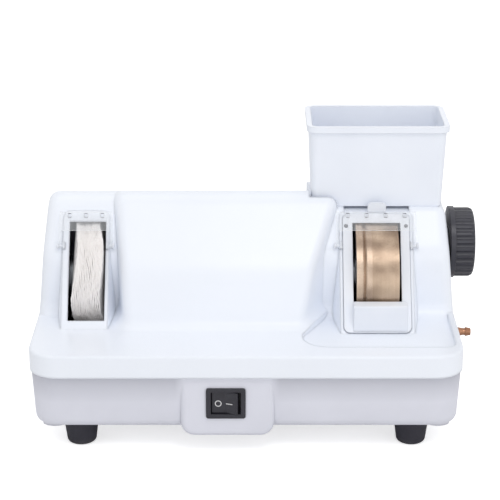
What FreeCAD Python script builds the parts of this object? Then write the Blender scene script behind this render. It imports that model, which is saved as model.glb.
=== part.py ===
# Bench lens edger: two grinding wheels on one motor spindle under a moulded cover,
# with a water tank, clear guards, a front switch and a side hand knob.
# Millimetres. X to the right, Y to the back, Z up; the origin lies on the bench
# under the middle of the machine's overall box.

import FreeCAD, Part
import math
import os
import Sketcher

V = FreeCAD.Vector
doc = FreeCAD.newDocument("lens_edger")
sheet = doc.addObject("Spreadsheet::Sheet", "Sizes")

SIZES = {
    # Whole body: the lip is the widest band, where cover and base meet
    "body_width": 341.0,
    "body_depth": 215.0,
    "lip_corner": 24.0,
    "lip_bottom": 67.0,
    "lip_height": 18.4,
    "lip_edge_radius": 2.0,
    "cover_wall": 4.0,
    "fit_gap": 0.3,
    "run_gap": 0.05,
    "overrun": 5.0,
    # Base tub
    "base_floor": 20.0,
    "base_inset": 2.5,
    "base_draft": 8.5,
    "base_wall": 3.0,
    "base_edge_radius": 10.0,
    "rim_rise": 6.0,
    "rim_thick": 2.0,
    # Cover zones: middle bulge over the motor, set-back bays at the wheels
    "shelf_fillet": 12.0,
    "bulge_foot": 56.0,
    "bulge_knee_y": 74.0,
    "bulge_knee_z": 62.0,
    "bulge_knee_radius": 55.0,
    "bulge_crown_y": 119.3,
    "bulge_crown_z": 115.6,
    "crown_radius": 18.0,
    "bulge_back_inset": 55.0,
    "back_top_inset": 20.2,
    "back_top_z": 86.6,
    "back_radius": 20.0,
    "back_foot_inset": 9.8,
    "bay_foot": 92.0,
    "bay_knee_y": 93.0,
    "bay_knee_z": 68.0,
    "bay_knee_radius": 30.0,
    "bay_crown_y": 124.6,
    "bay_crown_z": 113.6,
    "left_step_front_x": -98.0,
    "left_step_back_x": -104.0,
    "right_step_front_x": 46.0,
    "right_step_front_y": 60.0,
    "right_step_back_x": 67.0,
    "right_step_back_y": 102.0,
    "step_radius": 9.0,
    "side_top_half": 162.0,
    "side_top_z": 112.3,
    "side_top_radius": 9.0,
    # Tank seat and the shallow floor of the right bay
    "seat_z": 100.5,
    "seat_front_y": 115.6,
    "seat_back_inset": 22.0,
    "seat_front_radius": 6.0,
    "seat_back_radius": 8.0,
    "seat_left": 51.5,
    "seat_cut_y": 116.5,
    "recess_depth": 3.0,
    "recess_left": 45.0,
    "recess_right": 165.0,
    "recess_front": 20.0,
    "recess_corner": 20.0,
    "recess_small_corner": 8.0,
    # Pods that carry the wheel windows, leaning back
    "pod_front_y": 53.0,
    "pod_front_z": 15.5,
    "pod_lean": 55.0,
    "pod_depth": 46.0,
    "pod_draft": 10.0,
    "pod_corner": 6.0,
    "pod_length": 103.0,
    "left_pod_x": -130.25,
    "left_pod_width": 37.5,
    "right_pod_x": 105.5,
    "right_pod_width": 59.5,
    # Wheel windows
    "wheel_gap": 1.5,
    "left_window_x": -128.9,
    "left_window_width": 29.6,
    "left_window_low": 10.8,
    "left_window_high": 92.5,
    "right_window_x": 105.8,
    "right_window_width": 39.0,
    # Wheel frame insert and its screws
    "frame_width": 54.2,
    "frame_low": 0.8,
    "frame_high": 100.0,
    "frame_sunk": 3.0,
    "frame_proud": 1.2,
    "frame_corner": 5.0,
    "frame_screw_x": 24.4,
    "frame_screw_t": 89.5,
    "frame_screw_head": 2.2,
    "frame_screw_rise": 1.0,
    "frame_screw_shank": 1.2,
    # Lens rest block
    "rest_x": 107.5,
    "rest_width": 43.0,
    "rest_height": 23.6,
    "rest_top_depth": 11.4,
    "rest_edge": 1.0,
    # Spindle axis and shaft
    "axis_y": 117.0,
    "axis_z": 41.5,
    "shaft_left": -154.0,
    "shaft_right": 137.0,
    "shaft_end_radius": 6.0,
    "shaft_bearing_radius": 7.5,
    "shaft_collar_radius": 9.0,
    "shaft_end_chamfer": 1.0,
    # Wheels
    "wheel_radius": 50.0,
    "wheel_left": 88.8,
    "finish_width": 12.7,
    "rough_width": 21.6,
    "rim_depth": 6.0,
    "groove_x": 95.5,
    "groove_half": 1.6,
    "groove_depth": 1.3,
    "web_inset": 5.0,
    "web_inner": 22.0,
    "web_outer": 38.0,
    "flange_radius": 17.0,
    "flange_thick": 4.0,
    "flange_step": 1.5,
    "buff_left": -142.0,
    "buff_width": 26.0,
    "buff_round": 4.0,
    "nut_flat": 9.5,
    "nut_thick": 6.5,
    "slinger_radius": 15.0,
    "slinger_thick": 3.0,
    # Motor
    "shell_radius": 38.0,
    "shell_wall": 2.5,
    "motor_left": -72.0,
    "motor_length": 108.0,
    "bell_length": 12.0,
    "bell_wall": 3.0,
    "bell_spigot": 2.0,
    "bell_lip": 1.0,
    "bell_bore": 9.0,
    "bearing_radius": 17.5,
    "bearing_width": 11.0,
    "bearing_groove": 0.8,
    "bearing_land": 3.0,
    "core_inset": 24.0,
    "stator_bore": 22.0,
    "air_gap": 0.5,
    "winding_length": 11.0,
    "winding_inner": 23.5,
    "winding_clear": 1.5,
    "fan_radius": 31.0,
    "fan_hub": 11.0,
    "fan_disc": 1.5,
    "fan_depth": 7.0,
    "fan_blade": 1.6,
    "fan_gap": 2.0,
    # Motor cradle, straps and their bolts
    "cradle_plate": 4.0,
    "cradle_side": 46.0,
    "saddle_width": 14.0,
    "saddle_inset": 14.0,
    "saddle_drop": 8.0,
    "saddle_half": 46.0,
    "saddle_slot_half": 22.0,
    "strap_thick": 1.5,
    "bolt_shank": 2.0,
    "bolt_head": 3.6,
    "bolt_head_rise": 2.6,
    "bolt_reach": 9.0,
    # Splash trays under and beside the wheels
    "tray_wall": 2.5,
    "tray_floor": 44.5,
    "tray_top": 76.0,
    "splash_front_y": 100.0,
    "splash_knee_z": 133.0,
    "splash_top_y": 113.0,
    "splash_top_z": 150.0,
    "splash_back_y": 165.0,
    "tray_front_y": 62.0,
    "tray_back_y": 170.0,
    "left_tray_left": -152.0,
    "left_tray_right": -106.0,
    "right_tray_left": 79.0,
    "right_tray_right": 140.0,
    "tray_corner": 6.0,
    "shaft_hole": 11.0,
    "post_radius": 6.0,
    "pad_rise": 5.0,
    "hex_angle": 30.0,
    "pick_slack": 0.01,
    "pick_reach": 1.0,
    "pick_band": 10.0,
    "post_inset": 14.0,
    # Drain
    "drain_y": 131.0,
    "drain_z": 52.0,
    "drain_bore": 2.0,
    "spigot_radius": 3.0,
    "spigot_length": 8.0,
    "hose_radius": 4.6,
    "nipple_tip": 190.0,
    "nipple_tube": 3.0,
    "barb_radius": 3.9,
    "barb_length": 4.5,
    "nipple_hex": 6.0,
    "nipple_hex_thick": 4.0,
    # Feet and their screws
    "foot_x": 132.0,
    "foot_front_y": 31.0,
    "foot_top_radius": 14.0,
    "foot_low_radius": 11.4,
    "foot_round": 3.0,
    "foot_well_radius": 5.0,
    "foot_well_depth": 8.0,
    "foot_nut_flat": 3.6,
    "foot_nut_thick": 3.2,
    # Cover posts and screws
    "cover_post_x": 150.0,
    "cover_post_front_y": 20.0,
    "cover_post_back_inset": 18.0,
    "cover_post_radius": 5.0,
    "cover_post_low": 70.0,
    "cover_screw_seat": 60.0,
    "cover_screw_tip": 77.0,
    "cover_screw_well": 4.2,
    # Front switch
    "boss_x": -14.7,
    "boss_width": 73.5,
    "boss_low": 16.0,
    "boss_high": 66.0,
    "boss_front_y": 3.0,
    "boss_low_radius": 11.0,
    "boss_high_radius": 8.0,
    "boss_edge_radius": 4.0,
    "switch_x": -15.9,
    "switch_z": 45.0,
    "bezel_width": 31.0,
    "bezel_height": 25.5,
    "bezel_thick": 1.4,
    "bezel_radius": 2.0,
    "switch_width": 28.4,
    "switch_height": 21.6,
    "switch_depth": 22.0,
    "rocker_swing": 10.4,
    "rocker_crest": 1.83,
    "rocker_height": 18.0,
    "rocker_sink": 4.0,
    "rocker_side": 1.0,
    "rocker_back": 2.0,
    "rocker_tail": 4.0,
    "rocker_angle": 20.0,
    "rocker_y": 7.7,
    "rocker_gap": 0.3,
    "rocker_pin": 1.2,
    "rocker_pin_out": 1.5,
    "switch_well_half": 11.7,
    "switch_well": 13.5,
    "tab_width": 6.3,
    "tab_thick": 0.8,
    "tab_length": 8.0,
    "tab_pitch": 9.0,
    # Mains inlet at the back of the base
    "inlet_x": 96.0,
    "inlet_z": 44.0,
    "inlet_boss_width": 60.0,
    "inlet_boss_height": 32.0,
    "inlet_boss_inset": 3.5,
    "inlet_boss_radius": 5.0,
    "inlet_flange_width": 50.0,
    "inlet_flange_height": 24.0,
    "inlet_flange_thick": 2.5,
    "inlet_flange_radius": 5.0,
    "inlet_body_width": 28.0,
    "inlet_body_height": 20.0,
    "inlet_depth": 22.0,
    "inlet_well_width": 24.4,
    "inlet_well_height": 16.6,
    "inlet_well_depth": 17.5,
    "inlet_well_corner": 3.0,
    "pin_length": 11.0,
    "pin_width": 4.0,
    "pin_thick": 2.0,
    "pin_pitch": 7.0,
    "pin_rise": 2.0,
    "inlet_screw_pitch": 40.0,
    # Side hand knob
    "knob_y": 137.0,
    "knob_z": 64.0,
    "knob_face": 167.8,
    "knob_boss_radius": 12.0,
    "knob_boss_length": 8.0,
    "knob_clear": 1.0,
    "knob_gap": 0.4,
    "knob_radius": 30.0,
    "knob_skirt": 8.5,
    "knob_grip_radius": 28.8,
    "knob_length": 20.2,
    "knob_round": 3.0,
    "knob_dish": 2.0,
    "knob_dish_radius": 19.0,
    "notch_radius": 2.2,
    "notch_depth": 1.3,
    "bush_radius": 7.5,
    "bush_flange": 10.0,
    "bush_flange_thick": 1.5,
    "stud_radius": 5.0,
    "stud_inner": 146.0,
    "stud_grip": 12.0,
    "lock_flat": 8.0,
    "lock_thick": 5.0,
    # Water tank
    "tank_x": 107.0,
    "tank_front_y": 118.0,
    "tank_width": 112.0,
    "tank_depth": 66.0,
    "tank_height": 68.3,
    "tank_draft": 2.6,
    "tank_corner": 7.0,
    "tank_wall": 2.4,
    "tank_rim_out": 2.0,
    "tank_rim_height": 5.0,
    "spout_y": 152.0,
    "spout_x": 106.5,
    "spout_radius": 4.0,
    "spout_length": 11.0,
    "spout_bore": 2.5,
    # Tap under the tank and its lever in the shallow channel
    "channel_width": 53.5,
    "channel_depth": 2.5,
    "channel_back_y": 164.0,
    "neck_radius": 6.0,
    "neck_rise": 1.9,
    "tap_flange_radius": 12.0,
    "tap_flange_thick": 3.0,
    "tap_radius": 7.0,
    "tap_drop": 5.0,
    "tip_radius": 3.0,
    "tip_length": 3.0,
    "lever_ring": 9.0,
    "lever_thick": 1.5,
    "lever_lift": 0.5,
    "lever_width": 7.0,
    "lever_front_y": 114.4,
    "grip_width": 10.6,
    "grip_thick": 2.6,
    "grip_height": 8.0,
    "grip_round": 3.0,
    # Clear guards
    "guard_thick": 2.0,
    "guard_gap": 0.4,
    "guard_back_t": 101.0,
    "guard_back_h": 3.8,
    "guard_front_t": 82.0,
    "guard_front_h": 11.0,
    "guard_lip": 3.0,
    "guard_arm": 2.6,
    "guard_pivot_t": 73.0,
    "guard_pivot_h": 0.6,
    "guard_slot_wide": 2.6,
    "guard_slot_long": 3.6,
    "guard_slot_inset": 4.2,
    "left_slot_pitch": 13.2,
    "right_slot_pitch": 15.4,
    "pivot_radius": 1.2,
    "pivot_grip": 3.0,
    "lug_width": 2.3,
    "lug_half": 2.8,
    "lug_rise": 2.6,
    "guard_corner": 2.3,
    "pivot_head": 2.6,
    "pivot_head_thick": 1.4,
    # Capacitor, its clip and the terminal block on the base floor
    "cap_radius": 17.0,
    "cap_length": 58.0,
    "cap_x": -76.0,
    "cap_y": 47.0,
    "clip_thick": 1.5,
    "clip_width": 12.0,
    "clip_foot": 8.0,
    "block_x": 30.0,
    "block_y": 52.0,
    "block_length": 44.0,
    "block_depth": 16.0,
    "block_height": 13.0,
    "block_screw": 2.2,
    "block_well": 3.0,
    "block_pitch": 10.0,
}

# Counts of what repeats
FAN_BLADES = 8
KNOB_NOTCHES = 28
LEFT_SLOTS = 3
RIGHT_SLOTS = 4
BLOCK_WAYS = 4


class Size:
    """A value together with the formula that ties a feature to the sheet."""

    def __init__(self, value, formula):
        self.value = value
        self.formula = formula

    @staticmethod
    def of(item):
        """A plain number, used only as a count or a share, next to a size."""
        return item if isinstance(item, Size) else Size(item, repr(item))

    def joined(self, other, sign, value):
        return Size(value, "(" + self.formula + " " + sign + " " + Size.of(other).formula + ")")

    def __add__(self, other):
        return self.joined(other, "+", self.value + Size.of(other).value)

    def __sub__(self, other):
        return self.joined(other, "-", self.value - Size.of(other).value)

    def __mul__(self, other):
        return self.joined(other, "*", self.value * Size.of(other).value)

    def __truediv__(self, other):
        return self.joined(other, "/", self.value / Size.of(other).value)

    def __neg__(self):
        return Size(-self.value, "(-1 * " + self.formula + ")")


class Sizes:
    """Reads a named size back from the sheet."""

    def __getattr__(self, alias):
        return Size(float(sheet.get(alias)), "Sizes." + alias)


for row, (alias, value) in enumerate(SIZES.items(), start=1):
    sheet.set("A%d" % row, alias)
    sheet.set("B%d" % row, str(value))
    sheet.setAlias("B%d" % row, alias)
doc.recompute()
s = Sizes()
zero = s.cover_wall * 0


def cosine(angle):
    return Size(math.cos(math.radians(angle.value)), "cos(" + angle.formula + ")")


def sine(angle):
    return Size(math.sin(math.radians(angle.value)), "sin(" + angle.formula + ")")


def tie(thing, prop, size):
    """Bind one property of a feature to a size."""
    thing.setExpression(prop, size.formula)


# Everything is laid out about the body's middle, with the lip's front at front_y, and
# moved by shift_x so that the overall box, side fittings included, is centred
half_width = s.body_width / 2
half_depth = s.body_depth / 2
front_y = -half_depth
shift_x = (half_width - s.nipple_tip) / 2


def back(distance):
    """A place behind the lip's front face."""
    return front_y + distance


def above(height):
    """A place above the lip's lower edge."""
    return s.lip_bottom + height


# Places that are kept from the back edge
bulge_back_y = s.body_depth - s.bulge_back_inset
back_top_y = s.body_depth - s.back_top_inset
back_foot = s.body_depth - s.back_foot_inset
seat_back_y = s.body_depth - s.seat_back_inset
foot_back_y = s.body_depth - s.foot_front_y
cover_post_back_y = s.body_depth - s.cover_post_back_inset
inlet_boss_back_y = s.body_depth - s.inlet_boss_inset


PLANE_TURNS = {
    "XY": FreeCAD.Rotation(V(0, 0, 1), 0),
    "XZ": FreeCAD.Rotation(V(1, 0, 0), 90),
    "YZ": FreeCAD.Rotation(V(1, 1, 1), 120),
}


def draw(sketch, corners):
    """Close an outline through corners (across, up, radius or None), each bound to its sizes."""
    count = len(corners)
    places = [V(across.value, up.value, 0) for across, up, radius in corners]
    arrive = []
    leave = []
    for index, (across, up, radius) in enumerate(corners):
        place = places[index]
        if radius is None:
            arrive.append(place)
            leave.append(place)
            continue
        before = (places[index - 1] - place).normalize()
        after = (places[(index + 1) % count] - place).normalize()
        run = radius.value / math.tan(before.getAngle(after) / 2)
        arrive.append(place + before * run)
        leave.append(place + after * run)
    lines = []
    for index in range(count):
        line = Part.LineSegment(leave[index], arrive[(index + 1) % count])
        lines.append(sketch.addGeometry(line))
    for index, (across, up, radius) in enumerate(corners):
        into = lines[index - 1]
        out = lines[index]
        if radius is None:
            sketch.addConstraint(Sketcher.Constraint("Coincident", into, 2, out, 1))
            pin(sketch, out, 1, across, up)
            continue
        corner = sketch.addGeometry(Part.Point(places[index]), True)
        pin(sketch, corner, 1, across, up)
        sketch.addConstraint(Sketcher.Constraint("PointOnObject", corner, 1, into))
        sketch.addConstraint(Sketcher.Constraint("PointOnObject", corner, 1, out))
        before = (arrive[index] - places[index]).normalize()
        after = (leave[index] - places[index]).normalize()
        half = before.getAngle(after) / 2
        middle = (before + after).normalize()
        centre = places[index] + middle * (radius.value / math.sin(half))
        first = math.atan2(arrive[index].y - centre.y, arrive[index].x - centre.x)
        last = math.atan2(leave[index].y - centre.y, leave[index].x - centre.x)
        left_turn = before.cross(after).z < 0
        start, end = (1, 2) if left_turn else (2, 1)
        sweep = (first, last) if left_turn else (last, first)
        full = Part.Circle(centre, V(0, 0, 1), radius.value)
        arc = sketch.addGeometry(Part.ArcOfCircle(full, sweep[0], sweep[1]))
        sketch.addConstraint(Sketcher.Constraint("Tangent", into, 2, arc, start))
        sketch.addConstraint(Sketcher.Constraint("Tangent", out, 1, arc, end))
        number = sketch.addConstraint(Sketcher.Constraint("Radius", arc, radius.value))
        tie(sketch, "Constraints[%d]" % number, radius)


def pin(sketch, geometry, point, across, up):
    """Fix one point of a sketch by its two sizes."""
    for kind, size in (("DistanceX", across), ("DistanceY", up)):
        number = sketch.addConstraint(Sketcher.Constraint(kind, -1, 1, geometry, point, size.value))
        tie(sketch, "Constraints[%d]" % number, size)


def circle(sketch, across, up, radius):
    """A circle bound to its centre and radius."""
    centre = V(across.value, up.value, 0)
    ring = sketch.addGeometry(Part.Circle(centre, V(0, 0, 1), radius.value))
    pin(sketch, ring, 3, across, up)
    number = sketch.addConstraint(Sketcher.Constraint("Radius", ring, radius.value))
    tie(sketch, "Constraints[%d]" % number, radius)


def free_sketch(name, plane, lift):
    """A sketch outside any body, parallel to a main plane and lifted along that plane's normal."""
    sketch = doc.addObject("Sketcher::SketchObject", name)
    sketch.Placement = FreeCAD.Placement(V(), PLANE_TURNS[plane])
    if plane == "YZ":
        tie(sketch, "Placement.Base.x", lift + shift_x)
        return sketch
    tie(sketch, "Placement.Base.x", shift_x)
    tie(sketch, "Placement.Base." + {"XY": "z", "XZ": "y"}[plane], lift)
    return sketch


def place(thing, across, behind, level):
    """Stand a feature at a place given from the body's middle, the lip's front and the bench."""
    tie(thing, "Placement.Base.x", across + shift_x)
    tie(thing, "Placement.Base.y", back(behind))
    tie(thing, "Placement.Base.z", level)
    return thing


def sketch_at(name, plane, across, behind, level):
    """A sketch parallel to a main plane, with its origin at a place."""
    sketch = doc.addObject("Sketcher::SketchObject", name)
    sketch.Placement = FreeCAD.Placement(V(), PLANE_TURNS[plane])
    return place(sketch, across, behind, level)


def block(name, left, right, near, far, low, high):
    """An upright box between six planes."""
    solid = doc.addObject("Part::Box", name)
    tie(solid, "Length", right - left)
    tie(solid, "Width", far - near)
    tie(solid, "Height", high - low)
    return place(solid, left, near, low)


ROD_TURNS = {
    "X": FreeCAD.Rotation(V(0, 1, 0), 90),
    "Y": FreeCAD.Rotation(V(1, 0, 0), -90),
    "Z": FreeCAD.Rotation(V(0, 0, 1), 0),
}
SPIN_TURNS = {
    "X": FreeCAD.Rotation(V(1, 0, 0), 90),
    "Y": FreeCAD.Rotation(V(1, 1, 1), 120),
    "Z": FreeCAD.Rotation(V(1, 1, 1), 240),
}
SPIN_AXES = {"X": V(1, 0, 0), "Y": V(0, 1, 0), "Z": V(0, 0, 1)}


def rod(name, direction, across, behind, level, radius, length):
    """A round rod that starts at a place and runs along a main axis."""
    solid = doc.addObject("Part::Cylinder", name)
    solid.Placement = FreeCAD.Placement(V(), ROD_TURNS[direction])
    tie(solid, "Radius", radius)
    tie(solid, "Height", length)
    return place(solid, across, behind, level)


def turned(name, direction, across, behind, level, corners):
    """A turned solid: corners run (along the axis, distance from the axis, radius or None)."""
    sketch = doc.addObject("Sketcher::SketchObject", name + "_profile")
    sketch.Placement = FreeCAD.Placement(V(), SPIN_TURNS[direction])
    draw(sketch, corners)
    solid = doc.addObject("Part::Revolution", name)
    solid.Source = sketch
    solid.Axis = SPIN_AXES[direction]
    solid.Angle = 360
    solid.Solid = True
    return place(solid, across, behind, level)


def ring(name, direction, across, behind, level, length, inner, outer):
    """A plain turned ring from a place along an axis."""
    return turned(name, direction, across, behind, level, [
        (zero, inner, None), (length, inner, None), (length, outer, None), (zero, outer, None),
    ])


def nut(name, direction, across, behind, level, flat, thick, bore):
    """A hexagon nut with a plain bore, from a place along X or Z."""
    sketch = sketch_at(name + "_hexagon", {"X": "YZ", "Z": "XY"}[direction], across, behind, level)
    side = flat * sine(s.hex_angle) / cosine(s.hex_angle)
    point = flat / cosine(s.hex_angle)
    draw(sketch, [
        (flat, -side, None), (flat, side, None), (zero, point, None),
        (-flat, side, None), (-flat, -side, None), (zero, -point, None),
    ])
    if bore is not None:
        circle(sketch, zero, zero, bore)
    return extrude(name, sketch, thick)


def bolt(name, across, behind, level, head, rise, shank, reach):
    """An upright cheese-head screw with its head sitting on a level."""
    return turned(name, "Z", across, behind, level, [
        (-reach, zero, None), (-reach, shank, None), (zero, shank, None),
        (zero, head, None), (rise, head, None), (rise, zero, None),
    ])


# The pods' own frame: t runs up along the leaning face and h stands out from it
def pod_behind(t, h):
    return s.pod_front_y + t * cosine(s.pod_lean) - h * sine(s.pod_lean)


def pod_level(t, h):
    return above(s.pod_front_z + t * sine(s.pod_lean) + h * cosine(s.pod_lean))


def lean(thing, across, t, h):
    """Stand a feature at a place on a pod, leaning with it."""
    thing.Placement = FreeCAD.Placement(V(), FreeCAD.Rotation(V(1, 0, 0), 1))
    tie(thing, "Placement.Rotation.Angle", s.pod_lean)
    return place(thing, across, pod_behind(t, h), pod_level(t, h))


def leaning_box(name, left, right, t_low, t_high, h_low, h_high):
    solid = doc.addObject("Part::Box", name)
    tie(solid, "Length", right - left)
    tie(solid, "Width", t_high - t_low)
    tie(solid, "Height", h_high - h_low)
    return lean(solid, left, t_low, h_low)


def leaning_rod(name, across, t, h, radius, length):
    solid = doc.addObject("Part::Cylinder", name)
    tie(solid, "Radius", radius)
    tie(solid, "Height", length)
    return lean(solid, across, t, h)


def leaning_plate(name, centre, width, t_low, t_high, h_low, h_high, radius):
    """A plate with rounded corners, parallel to a pod's face."""
    sketch = doc.addObject("Sketcher::SketchObject", name + "_plan")
    lean(sketch, centre, zero, h_low)
    draw(sketch, rectangle(-width / 2, width / 2, t_low, t_high, radius))
    solid = doc.addObject("Part::Extrusion", name)
    solid.Base = sketch
    solid.DirMode = "Normal"
    solid.Solid = True
    tie(solid, "LengthFwd", h_high - h_low)
    return solid


def extrude(name, sketch, length):
    """A solid drawn out of a free sketch along the sketch's main axis."""
    solid = doc.addObject("Part::Extrusion", name)
    solid.Base = sketch
    solid.DirMode = "Custom"
    solid.Dir = sketch_normal(sketch)
    solid.Solid = True
    tie(solid, "LengthFwd", length)
    return solid


def sketch_normal(sketch):
    """The main axis that a free sketch or its inset faces, taken positive."""
    source = sketch.Source if hasattr(sketch, "Source") else sketch
    normal = source.Placement.Rotation.multVec(V(0, 0, 1))
    return V(abs(normal.x), abs(normal.y), abs(normal.z))


def inset(name, sketch, distance):
    """The same outline moved inwards, for the inside of a wall."""
    outline = doc.addObject("Part::Offset2D", name)
    outline.Source = sketch
    outline.Join = "Intersection"
    tie(outline, "Value", -distance)
    return outline


def fuse(name, pieces):
    result = doc.addObject("Part::MultiFuse", name)
    result.Shapes = pieces
    result.Refine = True
    return result


def cut(name, base, tool):
    result = doc.addObject("Part::Cut", name)
    result.Base = base
    result.Tool = tool
    result.Refine = True
    return result


def common(name, first, second):
    result = doc.addObject("Part::Common", name)
    result.Base = first
    result.Tool = second
    result.Refine = True
    return result


def body(name):
    return doc.addObject("PartDesign::Body", name)


def plane_sketch(owner, name, plane, lift=None):
    """A sketch on one of a body's own origin planes, lifted along the plane's normal."""
    sketch = owner.newObject("Sketcher::SketchObject", name)
    role = plane + "_Plane"
    support = [item for item in owner.Origin.OriginFeatures if item.Role == role][0]
    sketch.AttachmentSupport = [(support, "")]
    sketch.MapMode = "FlatFace"
    if lift is not None:
        tie(sketch, "AttachmentOffset.Base.z", lift)
    return sketch


def pad(owner, name, sketch, length, both=False, back_way=False, taper=None):
    feature = owner.newObject("PartDesign::Pad", name)
    feature.Profile = sketch
    tie(feature, "Length", length)
    feature.Midplane = both
    feature.Reversed = back_way
    if taper is not None:
        tie(feature, "TaperAngle", taper)
    sketch.Visibility = False
    return feature


def rectangle(left, right, low, high, radius):
    """Corners of an upright rectangle with one radius all round."""
    return [(left, low, radius), (right, low, radius), (right, high, radius), (left, high, radius)]


# Top cover, outer form


def lip_block(name, shrink, low, high):
    """The rounded slab of the lip, drawn in by shrink all round."""
    sketch = free_sketch(name + "_plan", "XY", low)
    left = shrink - half_width
    right = half_width - shrink
    draw(sketch, rectangle(left, right, shrink - half_depth, half_depth - shrink, s.lip_corner - shrink))
    return extrude(name, sketch, high - low)


right_lean = (s.right_step_back_x - s.right_step_front_x) / (s.right_step_back_y - s.right_step_front_y)
left_lean = (s.left_step_back_x - s.left_step_front_x) / (s.bay_foot - s.bulge_foot)


def right_step(distance):
    """Where the bulge's right end stands at a distance behind the lip's front."""
    return s.right_step_front_x + right_lean * (distance - s.right_step_front_y)


def recess_block(name, grow, low, high):
    """The shallow floor at the right bay, which cuts the toe of the bulge's fillet."""
    sketch = free_sketch(name + "_plan", "XY", low)
    left = s.recess_left - grow
    right = s.recess_right + grow
    near = s.recess_front - grow
    gap = s.shelf_fillet / 2
    turn = s.right_step_front_y + (left - gap - s.right_step_front_x) / right_lean
    draw(sketch, [
        (left, back(near), s.recess_corner + grow),
        (right, back(near), s.recess_small_corner),
        (right, back(s.bay_foot), None),
        (right_step(s.bay_foot) + gap, back(s.bay_foot), None),
        (left, back(turn), None),
    ])
    return extrude(name, sketch, high - low)


def zone(name, corners, left, right, shrink):
    """One stretch of the cover's section along X, or the hollow under it."""
    sketch = free_sketch(name + "_section", "YZ", left)
    draw(sketch, [(back(y), above(z), radius) for y, z, radius in corners])
    outline = sketch if shrink is None else inset(name + "_inset", sketch, shrink)
    return extrude(name, outline, right - left)


shelf = s.lip_height
bay_floor = s.lip_height - s.recess_depth
rear_corner = (back_foot, zero, None)
rear_top = (back_top_y, s.back_top_z, s.back_radius)
rear_fall = (s.bulge_crown_z - s.back_top_z) / (back_top_y - s.bulge_crown_y)


wall_lean = (s.bulge_knee_y - s.bulge_foot) / (s.bulge_knee_z - shelf)


def bulge_section():
    return [
        (s.bulge_foot - wall_lean * shelf, zero, None),
        (s.bulge_knee_y, s.bulge_knee_z, s.bulge_knee_radius),
        (s.bulge_crown_y, s.bulge_crown_z, s.crown_radius),
        (bulge_back_y, s.bulge_crown_z - rear_fall * (bulge_back_y - s.bulge_crown_y), None),
        (bulge_back_y, zero, None),
    ]


def bay_section(shelf_radius):
    return [
        (s.bay_foot - s.shelf_fillet * 2, zero, None),
        (s.bay_foot - s.shelf_fillet * 2, shelf, None),
        (s.bay_foot, shelf, shelf_radius),
        (s.bay_knee_y, s.bay_knee_z, s.bay_knee_radius),
        (s.bay_crown_y, s.bay_crown_z, s.crown_radius),
        rear_top,
        rear_corner,
    ]


def tank_bay_section(shelf_radius, drop):
    seat = s.seat_z - drop
    return [
        (s.bay_foot - s.shelf_fillet * 2, zero, None),
        (s.bay_foot - s.shelf_fillet * 2, bay_floor, None),
        (s.bay_foot, bay_floor, shelf_radius),
        (s.bay_knee_y, s.bay_knee_z, s.bay_knee_radius),
        (s.seat_front_y, seat, s.seat_front_radius),
        (seat_back_y, seat, s.seat_back_radius),
        rear_corner,
    ]


def bulge_plan(name, shrink):
    """Plan outline of the middle bulge, with both ends slanted."""
    sketch = free_sketch(name + "_plan", "XY", zero)
    near = zero
    far = s.body_depth
    draw(sketch, [
        (s.left_step_front_x + left_lean * (near - s.bulge_foot), back(near), None),
        (right_step(near), back(near), None),
        (right_step(far), back(far), None),
        (s.left_step_front_x + left_lean * (far - s.bulge_foot), back(far), None),
    ])
    outline = sketch if shrink is None else inset(name + "_inset", sketch, shrink)
    return extrude(name, outline, above(s.bulge_crown_z))


def side_prism(name, shrink):
    """Front silhouette of the cover, leaning in towards the top."""
    sketch = free_sketch(name + "_front", "XZ", back(back_foot + s.shelf_fillet))
    half = half_width
    draw(sketch, [
        (-half, s.lip_bottom, None),
        (half, s.lip_bottom, None),
        (half, above(shelf), None),
        (s.side_top_half, above(s.side_top_z), s.side_top_radius),
        (-s.side_top_half, above(s.side_top_z), s.side_top_radius),
        (-half, above(shelf), None),
    ])
    outline = sketch if shrink is None else inset(name + "_inset", sketch, shrink)
    solid = extrude(name, outline, back_foot + s.shelf_fillet)
    solid.Dir = V(0, -1, 0)
    return solid


def pod(name, centre, width, shrink):
    """A leaning pod that carries a wheel window, or the hollow inside it."""
    owner = body(name)
    owner.Placement = FreeCAD.Placement(V(), FreeCAD.Rotation(V(1, 0, 0), 1))
    tie(owner, "Placement.Rotation.Angle", s.pod_lean)
    place(owner, zero, s.pod_front_y, above(s.pod_front_z))
    start = -shrink
    sketch = plane_sketch(owner, name + "_face", "XY", start)
    half = width / 2 - shrink
    low = shrink - s.pod_front_z / 2
    high = s.pod_length - shrink
    corner = s.pod_corner - shrink
    draw(sketch, rectangle(centre - half, centre + half, low, high, corner))
    pad(owner, name + "_pad", sketch, s.pod_depth - shrink, back_way=True, taper=s.pod_draft)
    return owner


def rounded(name, base, radius, pick):
    """The base with the picked edges rounded."""
    doc.recompute()
    owner = body(name)
    owner.BaseFeature = base
    doc.recompute()
    edges = ["Edge%d" % number for number, edge in enumerate(owner.Tip.Shape.Edges, start=1) if pick(edge)]
    feature = owner.newObject("PartDesign::Fillet", name + "_fillet")
    feature.Base = (owner.Group[0], edges)
    tie(feature, "Radius", radius)
    return owner


slack = s.pick_slack.value
reach = s.pick_reach.value


def along(edge):
    """Both ends and the middle of an edge, with X from the body's middle."""
    low, high = edge.ParameterRange
    points = [edge.valueAt(low), edge.valueAt((low + high) / 2), edge.valueAt(high)]
    return [point - V(shift_x.value, 0, 0) for point in points]


def spread(points):
    return max(point.y for point in points) - min(point.y for point in points)


def on_slant(edge):
    """An upright or sloping edge on the bulge's slanted end faces, above the shelf."""
    points = along(edge)
    if edge_runs_across(edge) or not in_front(points):
        return False
    return spread(points) > reach and max(point.z for point in points) > above(zero).value + reach


def edge_runs_across(edge):
    points = along(edge)
    return abs(points[0].z - points[2].z) < slack and abs(points[0].y - points[2].y) < slack


def in_front(points):
    return max(point.y for point in points) < back(s.bulge_crown_y + s.crown_radius).value


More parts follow.
